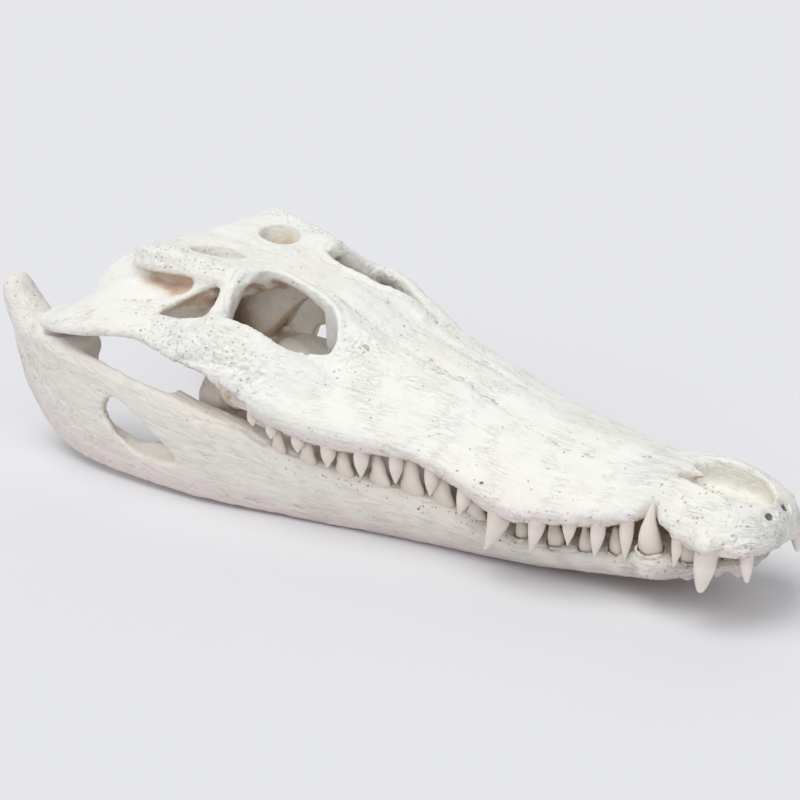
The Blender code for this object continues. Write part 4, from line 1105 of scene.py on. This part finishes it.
def table_body(bench):
    """Flat skull table with its upper temporal opening."""
    rings = []
    for s, w, zt, ze, thick in stations(TABLE, 44):
        corners = [(MIDLINE, zt), (w * 0.5, zt * 0.55 + ze * 0.45 - 0.001), (w - 0.012, ze),
                   (w - 0.002, ze - 0.006), (w + 0.006, ze - thick), (w - 0.016, ze - thick * 1.20),
                   (w * 0.5, zt - 0.030), (MIDLINE, zt - 0.032)]
        rings.append(bench.section(s, corners))
    table = bench.loft("table", rings)
    bench.pierce(table, "table_window", oval(*TABLE_WINDOW), [(0.05, 0.9), (0.155, 0.95), (0.18, 1.06)])
    return table


def brain_body(bench):
    """Box of the brain under the table, pierced by the upper temporal opening."""
    rings = []
    for s, top, waist, zw, keel, zk in stations(BRAINCASE, 36):
        corners = [(MIDLINE, 0.160), (top, 0.158), (waist, zw), (keel, zk), (MIDLINE, zk - 0.002)]
        rings.append(bench.section(s, corners, 6))
    box = bench.loft("braincase", rings)
    bench.pierce(box, "temporal_shaft", oval(*TABLE_WINDOW), [(0.112, 0.6), (0.150, 0.95), (0.30, 1.0)])
    return box


def skull_bodies(bench):
    """All the bodies that the upper skull grows from."""
    occiput = bench.plate("occiput", OCCIPUT, 30)
    bench.cut(occiput, bench.rod("cord", [(0.95, 0, 0.110), (1.06, 0, 0.108)], [0.017, 0.019]))
    wing = bench.plate("wing", WING, 40)
    bench.cut(wing, bench.ball("inner_nostril", (0.915, 0, 0.010), (0.020, 0.013, 0.010)))
    bodies = [face_body(bench), roof_body(bench), table_body(bench), brain_body(bench), occiput, wing]
    bodies += [getattr(bench, kind)(name, *sizes) for kind, name, *sizes in (
        ("ball", "neck_knob", (1.040, 0, 0.082), (0.022, 0.021, 0.0185)),
        ("flat_bar", "cheek", CHEEK, 80), ("flat_bar", "quadrate", QUADRATE, 60),
        ("flat_bar", "ear_floor", EAR_FLOOR, 24), ("flat_bar", "deep_wall", DEEP_WALL, 30),
        ("flat_bar", "ear_front", EAR_FRONT, 16), ("flat_bar", "ear_inner", EAR_INNER, 20),
        ("ball", "window_floor", (0.915, 0.052, 0.128), (0.062, 0.042, 0.016)),
        ("rod", "eye_post", [(0.852, 0.088, 0.156), (0.845, 0.105, 0.143), (0.838, 0.126, 0.125),
                             (0.828, 0.151, 0.107)], [0.0150, 0.0160, 0.0160, 0.0200]),
        ("ball", "orbit_knob", (0.838, 0.048, 0.137), (0.009, 0.010, 0.007)),
        ("rod", "strut", [(0.70, 0.170, 0.028), (0.76, 0.160, 0.022), (0.82, 0.134, -0.004),
                          (0.85, 0.130, -0.024)], [0.016, 0.0145, 0.0135, 0.0135]),
        ("rod", "strut_cheek", [(0.79, 0.186, 0.062), (0.78, 0.172, 0.040), (0.80, 0.150, 0.012)],
         [0.015, 0.014, 0.014]),
        ("rod", "front_pillar", [(0.668, 0.052, 0.116), (0.690, 0.038, 0.080), (0.705, 0.030, 0.024)],
         [0.017, 0.014, 0.016]),
        ("rod", "airway", [(0.56, 0.010, 0.012), (0.66, 0.012, 0.013), (0.76, 0.014, 0.018),
                           (0.84, 0.012, 0.030)], [0.013, 0.014, 0.018, 0.022], 32),
        ("rod", "nasal_tongue", [(0.176, 0, 0.0500), (0.150, 0, 0.0555), (0.131, 0, 0.0590),
                                 (0.113, 0, 0.0600)], [0.0110, 0.0088, 0.0060, 0.0026]))]
    return bodies + collars(bench, bodies[0], UPPER_TEETH, -1)


def jaw_bodies(bench):
    """All the bodies that the right half of the lower jaw grows from."""
    rings = []
    for s, yo, zt, zb, yk, top, waist in stations(JAW, 150):
        height = zt - zb
        wall = yo - (yo - yk) * 0.30
        corners = [(yo - top, zt - 0.002), (yo - top * 0.5, zt + 0.001), (yo - 0.004, zt - 0.002),
                   (yo, zt - height * 0.30), (wall, zt - height * 0.70),
                   (yk + 0.006, zb + 0.003), (yk - 0.006, zb + 0.001),
                   (min(yk - 0.012, wall - waist * 0.8), zb + height * 0.18),
                   (wall - waist, zb + height * 0.45), (yo - top * 0.5 - waist * 0.5, zt - height * 0.25)]
        rings.append(bench.section(s, corners))
    body = bench.loft("jaw_body", rings)
    hollow = [[bench.point(s, y, z) for y, z in ((yi, low), (yo, low), (yo - 0.002, 0.05), (yi, 0.05))]
              for s, yi, yo, low in JAW_HOLLOW]
    window, gate = ([[bench.point(s, y, z) for s, z in outline] for y in depths] for outline, depths in
                    ((rounded(SIDE_WINDOW, 4), (0.186, 0.26)), (INNER_GATE, (0.12, 0.18))))
    for name, rings in (("side_window", window), ("jaw_hollow", hollow), ("inner_gate", gate)):
        bench.cut(body, bench.loft(name, rings))
    heel = bench.rod("heel", [row[:3] for row in HEEL], [row[3] for row in HEEL], 28)
    shelf = bench.rod("joint_shelf", [(1.188, 0.196, 0.012), (1.194, 0.168, 0.012), (1.190, 0.134, 0.008)],
                      [0.0225, 0.0275, 0.0175], 24)
    bodies = [body, heel, shelf]
    gap = 0.004
    knuckle = bench.flat_bar("knuckle", [
        (s + (gap if s > 1.12 else 0.0), y0 + gap, z0 - gap, y1 - gap, z1 - gap, thick + 2 * gap)
        for s, y0, z0, y1, z1, thick in QUADRATE[5:]], 24)
    for piece in bodies:
        bench.cut(piece, knuckle, keep=True)
    bpy.data.objects.remove(knuckle)
    return bodies + collars(bench, body, LOWER_TEETH, 1)


def rim_distance(work, outline):
    """Distance in plan from each place to an outline of s and y."""
    flat = [(s, y, 0.0) for s, y in outline]
    places = work.place * np.array((1, 1, 0), np.float32)
    return line_distance(places, flat + flat[:1])


def sculpt_skull(bench, obj, material):
    """Surface detail of the upper skull."""
    work = Sculptor(bench, obj, 11)
    s, y, z, up = work.s, work.y, work.z, work.up
    eye = rim_distance(work, rounded(ORBIT, 4))
    window = rim_distance(work, oval(*TABLE_WINDOW))
    for height, near, width, (low, high), (flat, level) in (
            (0.7, eye - 0.005, 0.0050, (0.085, 0.125), (0.1, 0.6)),
            (-0.3, eye - 0.0135, 0.0040, (0.120, 0.140), (0.3, 0.7)),
            (0.3, eye - 0.021, 0.0045, (0.125, 0.145), (0.4, 0.8)),
            (0.5, window - 0.004, 0.0035, (0.155, 0.165), (0.3, 0.7))):
        work.lift += work.power * height * hump(near, width) * step(z, low, high) * step(up, flat, level)
    work.relief(SKULL_RELIEF)
    work.roughen(SKULL_ROUGH)
    work.seams(SKULL_SEAMS)
    work.holes(SKULL_HOLES)
    work.pit((0.0205, 0.0155, 0.0480), 0.0062, 3.4)
    work.pit((0.9150, 0.1120, 0.1480), 0.0085, 2.0)
    work.sockets(UPPER_TEETH, -1)
    work.lumps(1.0)
    width = np.interp(s, [row[0] for row in FACE], [row[1] for row in FACE])
    rear = step(s, 0.80, 0.98) * step(y, 0.07, 0.13) * (1 - step(z, 0.155, 0.175))
    run = s + rear * (y * 0.42 - z * 0.42 - s * 0.20 + 0.207)
    across = y / width * 0.12 * (1 - rear) + rear * (z * 0.8 + s * 0.35 - 0.385)
    depth = z + rear * (y * 0.6 - s * 0.3 - z + 0.375)
    work.fibre(run, across, depth)
    work.grain(run, across, depth, 0.20, 0.20)
    edge = step(s, 0.84, 0.88) * step(y, 0.075, 0.105) * step(z, 0.15, 0.165) * 1.2
    cheek = step(y, 0.145, 0.165) * step(s, 0.66, 0.74) * (1 - step(s, 0.94, 1.0)) * step(z, 0.02, 0.05)
    lip = (1 - step(s, 0.13, 0.17)) * 0.9
    margin = step(0.036 - z, 0.0, 0.03) * step(work.out, 0.3, 0.8) * 0.55
    patch = hump(work.away((0.61, 0.088, 0.105)), 0.045) * 0.5
    outside = step(up + work.out * 1.2, -0.1, 0.4)
    pitted = np.clip(0.07 + edge * 0.85 + cheek * 0.65 + lip * 0.6 + margin + patch, 0, 0.95) * outside
    store(obj.data, "pitted", pitted)
    shade = work.read("hollow")
    # Painted shade on the palate's downward faces, which the lower jaw shades.
    mouth = step(-up, 0.3, 0.8) * step(s, 0.03, 0.10) * (1 - step(s, 0.85, 0.95))
    work.paint_shade(0.80 * mouth)
    # Painted shade made stronger in and below the ear recess, and weaker, as painted light, in the upper
    # temporal window, the nostril and the eye socket.
    for spot, radius, amount in (
            ((0.938, 0.108, 0.136), 0.030, 0.85), ((0.900, 0.110, 0.085), 0.045, 0.20),
            ((0.930, 0.058, 0.160), 0.042, -0.75), ((0.090, 0.015, 0.050), 0.060, -0.40),
            ((0.710, 0.050, 0.060), 0.090, -0.42)):
        work.paint_shade(amount * hump(work.away(spot), radius) * step(shade, 0.08, 0.30))
    # Where the pinkish painted shade goes: a strip along the upper tooth row, the low outer sides and
    # every downward face.
    row = np.array([tooth[:3] for tooth in UPPER_TEETH])
    strip = 1 - step(z - np.interp(s, row[:, 0], row[:, 2]), 0.006, 0.026)
    low = (strip * 0.9 + step(0.03 - z, 0.0, 0.04) * 0.4) * step(work.out, 0.0, 0.5)
    low = step(-up, -0.1, 0.7) * 0.8 + low
    store(obj.data, "low", np.clip(low, 0, 1))
    return work.finish(material)


def sculpt_jaw(bench, obj, material, seed):
    """Surface detail of one half of the lower jaw."""
    work = Sculptor(bench, obj, seed)
    s, y, z, up = work.s, work.y, work.z, work.up
    work.relief(JAW_RELIEF)
    work.roughen(JAW_ROUGH)
    work.seams(JAW_SEAMS)
    work.holes(JAW_HOLES)
    work.sockets(LOWER_TEETH, 1)
    work.lumps(0.8)
    low = np.interp(s, [row[0] for row in JAW], [row[3] for row in JAW])
    high = np.interp(s, [row[0] for row in JAW], [row[2] for row in JAW])
    share = np.clip((z - low) / (high - low), -0.2, 1.2)
    work.fibre(s, share * 0.11, y * 0.5)
    work.grain(s, share * 0.11, y * 0.5, 0.06, 0.55, 0.0030)
    # Painted shade on the inner sides of the jaw, which the other half and the skull shade.
    work.paint_shade(0.70 * step(-work.out, 0.1, 0.6) * (1 - step(s, 0.95, 1.10)))
    front = (1 - step(s, 0.14, 0.26)) * 0.55
    rim = step(share, 0.62, 0.86) * (1 - step(s, 0.60, 0.74)) * 0.55
    rear = step(s, 1.14, 1.22) * 0.30
    pitted = np.clip(0.07 + front + rim + rear, 0, 0.95) * step(work.out + up, -0.3, 0.3)
    store(obj.data, "pitted", pitted)
    # Where the pinkish painted shade goes: the lower part of the jaw and its downward faces.
    store(obj.data, "low", np.clip(1 - step(share, -0.05, 0.45) + step(-up, 0.0, 0.8) * 0.5, 0, 1))
    return work.finish(material)


def tooth_mesh(bm, bench, row, way, mirror, notes):
    """One curved, faintly fluted tooth that starts inside the bone."""
    s, y, z, length, radius, lean, splay, crown = row
    sides = bench.sizes.tooth_sides
    rings = []
    foot, shoulder, tip = -0.013 / length, 0.84, 0.16
    steps = np.concatenate([np.linspace(foot, shoulder, 24),
                            shoulder + tip * np.sin(np.linspace(0.15, 1.5, 10))])
    shape = stations(CROWNS[crown], 80)
    seed = int(s * 9973)
    for t in steps:
        tt = max(float(t), 0.0)
        bend = tt * tt
        centre = bench.point(s + lean * length * bend, y + splay * length * (t - 0.6 * bend),
                             z + way * length * t)
        size = float(np.interp(tt, [r[0] for r in shape], [r[1] for r in shape])) * radius * bench.length
        size *= math.sqrt(max(1 - max(tt - 0.94, 0) ** 2 / 0.0036, 0.0))
        size *= 1.0 - (0.55 if crown == "leaf" else 0.06) * step(-t * length, 0.0, 0.012)
        fade = max(0.0, 1 - abs(t - 0.45) / 0.55)
        flat = 0.40 + 0.46 * min(tt / 0.6, 1.0) if crown == "leaf" else 0.92
        ring = []
        for k in range(sides):
            a = 2 * math.pi * k / sides
            flute = 1 + 0.012 * fade * math.cos(11 * a + seed) + 0.025 * math.cos(2 * a + seed)
            flute += 0.02 * math.sin(3 * a + seed * 1.7 + t * 2.0) * (1 - fade * 0.5)
            keel = 1 + 0.07 * fade * (abs(math.cos(a)) ** 24)
            offset = Vector((math.cos(a), math.sin(a) * flat, 0)) * float(size) * flute * keel
            offset.z = -offset.y * splay * way * 0.5
            spot = centre + offset
            if mirror:
                spot.y = -spot.y
            ring.append(bm.verts.new(bench.rest @ spot))
            notes.append((t, a / 6.2832 + seed * 0.37))
        rings.append(ring)
    for near, far in zip(rings, rings[1:]):
        for i in range(sides):
            j = (i + 1) % sides
            face = bm.faces.new((near[i], near[j], far[j], far[i]))
            face.smooth = True
    bm.faces.new(rings[0])
    bm.faces.new(rings[-1][::-1])


def add_socket_rims(bench, obj, rows, way, sides):
    """Join a raised bony rim round each open socket to a bone."""
    bm = bmesh.new()
    bm.from_mesh(obj.data)
    before = len(bm.verts)
    count, rim_shade = 44, 0.22
    profile = ((0.0014, -0.008), (0.0012, -0.002), (0.0016, 0.0008), (0.0025, 0.0015), (0.0033, 0.0005),
               (0.0031, -0.0030), (0.0024, -0.0060), (0.0018, -0.008))
    for mirror in sides:
        for s, y, z, _, radius, _, splay, crown in rows:
            if not has_socket(way, crown):
                continue
            seed = int(s * 7919)
            rings = []
            for k in range(count):
                a = 2 * math.pi * k / count
                wave = (math.sin(2 * a + seed) * 0.0010 + math.sin(5 * a + seed * 1.3) * 0.0005
                        + math.sin(9 * a + seed * 2.1) * 0.0003)
                ring = []
                for wide, tall in profile:
                    grow = radius + wide + (wave * 0.6 if wide > 0.002 else 0.0)
                    spot = bench.point(s + math.cos(a) * grow, y + math.sin(a) * grow * 0.94,
                                       z + way * (tall + (wave if tall > -0.003 else 0.0)
                                                  - math.sin(a) * splay * radius * 0.4))
                    if mirror:
                        spot.y = -spot.y
                    ring.append(bm.verts.new(spot))
                rings.append(ring)
            for k in range(count):
                near, far = rings[k], rings[(k + 1) % count]
                for i in range(len(profile)):
                    j = (i + 1) % len(profile)
                    bm.faces.new((near[i], near[j], far[j], far[i]))
    bm.faces.ensure_lookup_table()
    fresh = [f for f in bm.faces if f.verts[0].index < 0 or f.verts[0].index >= before]
    bmesh.ops.recalc_face_normals(bm, faces=fresh)
    # The new rims get a fixed share of painted shade.
    shade = bm.verts.layers.float["hollow"]
    bm.verts.ensure_lookup_table()
    for v in bm.verts[before:]:
        v[shade] = rim_shade
    bm.to_mesh(obj.data)
    bm.free()
    obj.data.update()


def teeth_piece(bench, name, rows, way, sides, material):
    """A row of teeth as one piece."""
    bm = bmesh.new()
    notes = []
    for mirror in sides:
        for number, row in enumerate(rows):
            if mirror and way < 0 and number in WORN_LEFT:
                row = (*row[:3], WORN_LEFT[number], *row[4:])
            tooth_mesh(bm, bench, row, way, mirror, notes)
    bmesh.ops.recalc_face_normals(bm, faces=bm.faces)
    obj = bench.add(name, bm)
    mesh = obj.data
    values = np.array(notes, np.float32)
    store(mesh, "along", values[:, 0])
    layer = mesh.attributes.new("fibre", "FLOAT_VECTOR", "POINT")
    turn = values[:, 1] * 2 * math.pi
    layer.data.foreach_set("vector", np.stack([values[:, 0], np.cos(turn) * 0.1, np.sin(turn) * 0.1],
                                              axis=1).astype(np.float32).ravel())
    mesh.materials.append(material)
    return obj


def wear_down(bench, obj):
    """Shorten the rear process a little, as if its top had worn."""
    worn, low, front, full = 0.32, 0.030, 1.23, 1.26
    for v in obj.data.vertices:
        high = v.co.z / bench.length - low
        back = -v.co.x / bench.length
        if high > 0 and back > front:
            v.co.z -= worn * high * bench.length * float(step(back, front, full))


# ---------------------------------------------------------------- operators


class SKULL_OT_cranium(bpy.types.Operator):
    """Grow the upper skull and work in its surface"""

    bl_idname = "skull.cranium"
    bl_label = "Upper skull"

    def execute(self, context):
        bench = Workbench(context)
        bone = bench.grow("upper_skull", skull_bodies(bench), True)
        colours = bench.colours
        # The last two numbers: strength of the grain streaks, and of the pinkish painted shade on lower
        # sides.
        material = bone_material("Bleached upper bone", colours, colours.bone, 0.8, 0.45)
        sculpt_skull(bench, bone, material)
        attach(bone, "root")
        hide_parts("cranium")
        return {"FINISHED"}


class SKULL_OT_lower_jaw(bpy.types.Operator):
    """Grow both halves of the lower jaw and work in their surface"""

    bl_idname = "skull.lower_jaw"
    bl_label = "Lower jaw"

    def execute(self, context):
        bench = Workbench(context)
        colours = bench.colours
        # The last two numbers: strength of the grain streaks, and of the pinkish painted shade on lower
        # sides.
        material = bone_material("Bleached jaw bone", colours, colours.jaw, 1.0, 0.65)
        right = bench.grow("lower_jaw_right", jaw_bodies(bench), False)
        add_socket_rims(bench, right, LOWER_TEETH, 1, (False,))
        left = bpy.data.objects.new("lower_jaw_left", right.data.copy())
        context.scene.collection.objects.link(left)
        left.data.transform(Matrix.Diagonal((1, -1, 1, 1)))
        left.data.flip_normals()
        wear_down(bench, left)
        for obj, node, seed in ((right, "mandible_right", 23), (left, "mandible_left", 37)):
            sculpt_jaw(bench, obj, material, seed)
            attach(obj, "root")
            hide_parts(node)
        return {"FINISHED"}


class SKULL_OT_teeth(bpy.types.Operator):
    """Set the upper and lower teeth"""

    bl_idname = "skull.teeth"
    bl_label = "Teeth"

    def execute(self, context):
        bench = Workbench(context)
        material = tooth_material("Enamel", bench.colours)
        rows = (("upper_teeth", UPPER_TEETH, -1, (False, True), "upper_skull_bone"),
                ("lower_teeth_right", LOWER_TEETH, 1, (False,), "lower_jaw_bone"),
                ("lower_teeth_left", LOWER_TEETH, 1, (True,), "lower_jaw_bone"))
        for name, table, way, sides, slot in rows:
            teeth = teeth_piece(bench, name, table, way, sides, material)
            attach(teeth, "root")
        return {"FINISHED"}


class SKULL_OT_stage(bpy.types.Operator):
    """Lay the floor, and set up the lights and the camera"""

    bl_idname = "skull.stage"
    bl_label = "Stage"

    def execute(self, context):
        bench = Workbench(context)
        self.floor(bench)
        self.lights(bench)
        self.camera(bench)
        return {"FINISHED"}

    def floor(self, bench):
        """Plain pale floor."""
        bm = bmesh.new()
        bmesh.ops.create_circle(bm, cap_ends=True, segments=96, radius=FLOOR_RADIUS)
        floor = bench.add("floor", bm)
        material, _, shader = new_material("Pale floor")
        shader.inputs["Base Color"].default_value = solid(bench.colours.floor)
        shader.inputs["Roughness"].default_value = 0.85
        floor.data.materials.append(material)

    def lights(self, bench):
        """Soft overhead light, a softer fill and a pale surrounding."""
        world = bpy.data.worlds.new("Studio")
        world.use_nodes = True
        back = world.node_tree.nodes["Background"]
        back.inputs["Color"].default_value = (0.93, 0.95, 1.0, 1.0)
        back.inputs["Strength"].default_value = 0.36
        bench.scene.world = world
        bench.scene.view_settings.view_transform = "Standard"
        for name, place, spread, watts in (("key", (-0.10, -0.25, 1.0), 45.0, 1.60),
                                           ("front", (0.75, -0.65, 0.75), 60.0, 0.78),
                                           ("side", (-0.50, -1.0, 0.30), 70.0, 0.38),
                                           ("back", (-0.6, 0.9, 0.6), 60.0, 0.40)):
            data = bpy.data.lights.new(name, "SUN")
            data.angle = math.radians(spread)
            data.energy = watts
            lamp = bpy.data.objects.new(name, data)
            lamp.location = place
            lamp.rotation_euler = Vector([-c for c in place]).to_track_quat("-Z", "Y").to_euler()
            bench.scene.collection.objects.link(lamp)

    def camera(self, bench):
        """The photograph's viewpoint, given in the skull's own frame."""
        turn, rise, roll = math.radians(45.42), math.radians(22.78), math.radians(-0.87)
        away, focal_pixels, frame_pixels = 2.266, 1649.2, 800.0
        aim = Vector((-0.623, 0, 0.011))
        back = Vector((math.sin(turn) * math.cos(rise), -math.cos(turn) * math.cos(rise), math.sin(rise)))
        side = Vector((math.cos(turn), math.sin(turn), 0))
        above = back.cross(side)
        right = side * math.cos(roll) + above * math.sin(roll)
        upward = above * math.cos(roll) - side * math.sin(roll)
        spot = (aim + back * away) * bench.length
        data = bpy.data.cameras.new("Camera")
        data.sensor_width = 36.0
        data.lens = focal_pixels / frame_pixels * data.sensor_width
        data.clip_start = 0.01
        camera = bpy.data.objects.new("Camera", data)
        pose = Matrix((right, upward, back)).transposed().to_4x4()
        pose.translation = spot
        camera.matrix_world = bench.rest @ pose
        bench.scene.collection.objects.link(camera)
        bench.scene.camera = camera


class SKULL_PT_panel(bpy.types.Panel):
    """Sizes, colours and steps of the skull"""

    bl_label = "Crocodile skull"
    bl_idname = "SKULL_PT_panel"
    bl_space_type = "VIEW_3D"
    bl_region_type = "UI"
    bl_category = "Skull"

    def draw(self, context):
        column = self.layout.column()
        for kind, group in ((SkullSizes, context.scene.skull_sizes),
                            (SkullColours, context.scene.skull_colours)):
            for key in kind.__annotations__:
                column.prop(group, key)
        for step_class in STEPS:
            column.operator(step_class.bl_idname)


STEPS = (SKULL_OT_cranium, SKULL_OT_lower_jaw, SKULL_OT_teeth, SKULL_OT_stage)
CLASSES = (SkullSizes, SkullColours) + STEPS + (SKULL_PT_panel,)


def register():
    """Add the classes and the scene's settings."""
    for one in CLASSES:
        bpy.utils.register_class(one)
    bpy.types.Scene.skull_sizes = PointerProperty(type=SkullSizes)
    bpy.types.Scene.skull_colours = PointerProperty(type=SkullColours)


def unregister():
    """Remove them again."""
    del bpy.types.Scene.skull_colours
    del bpy.types.Scene.skull_sizes
    for one in reversed(CLASSES):
        bpy.utils.unregister_class(one)


def main():
    """Build the skull and its stage."""
    register()
    bpy.ops.skull.cranium()
    bpy.ops.skull.lower_jaw()
    bpy.ops.skull.teeth()
    bpy.ops.skull.stage()
    bpy.context.view_layer.update()


if __name__ == "__main__":
    main()
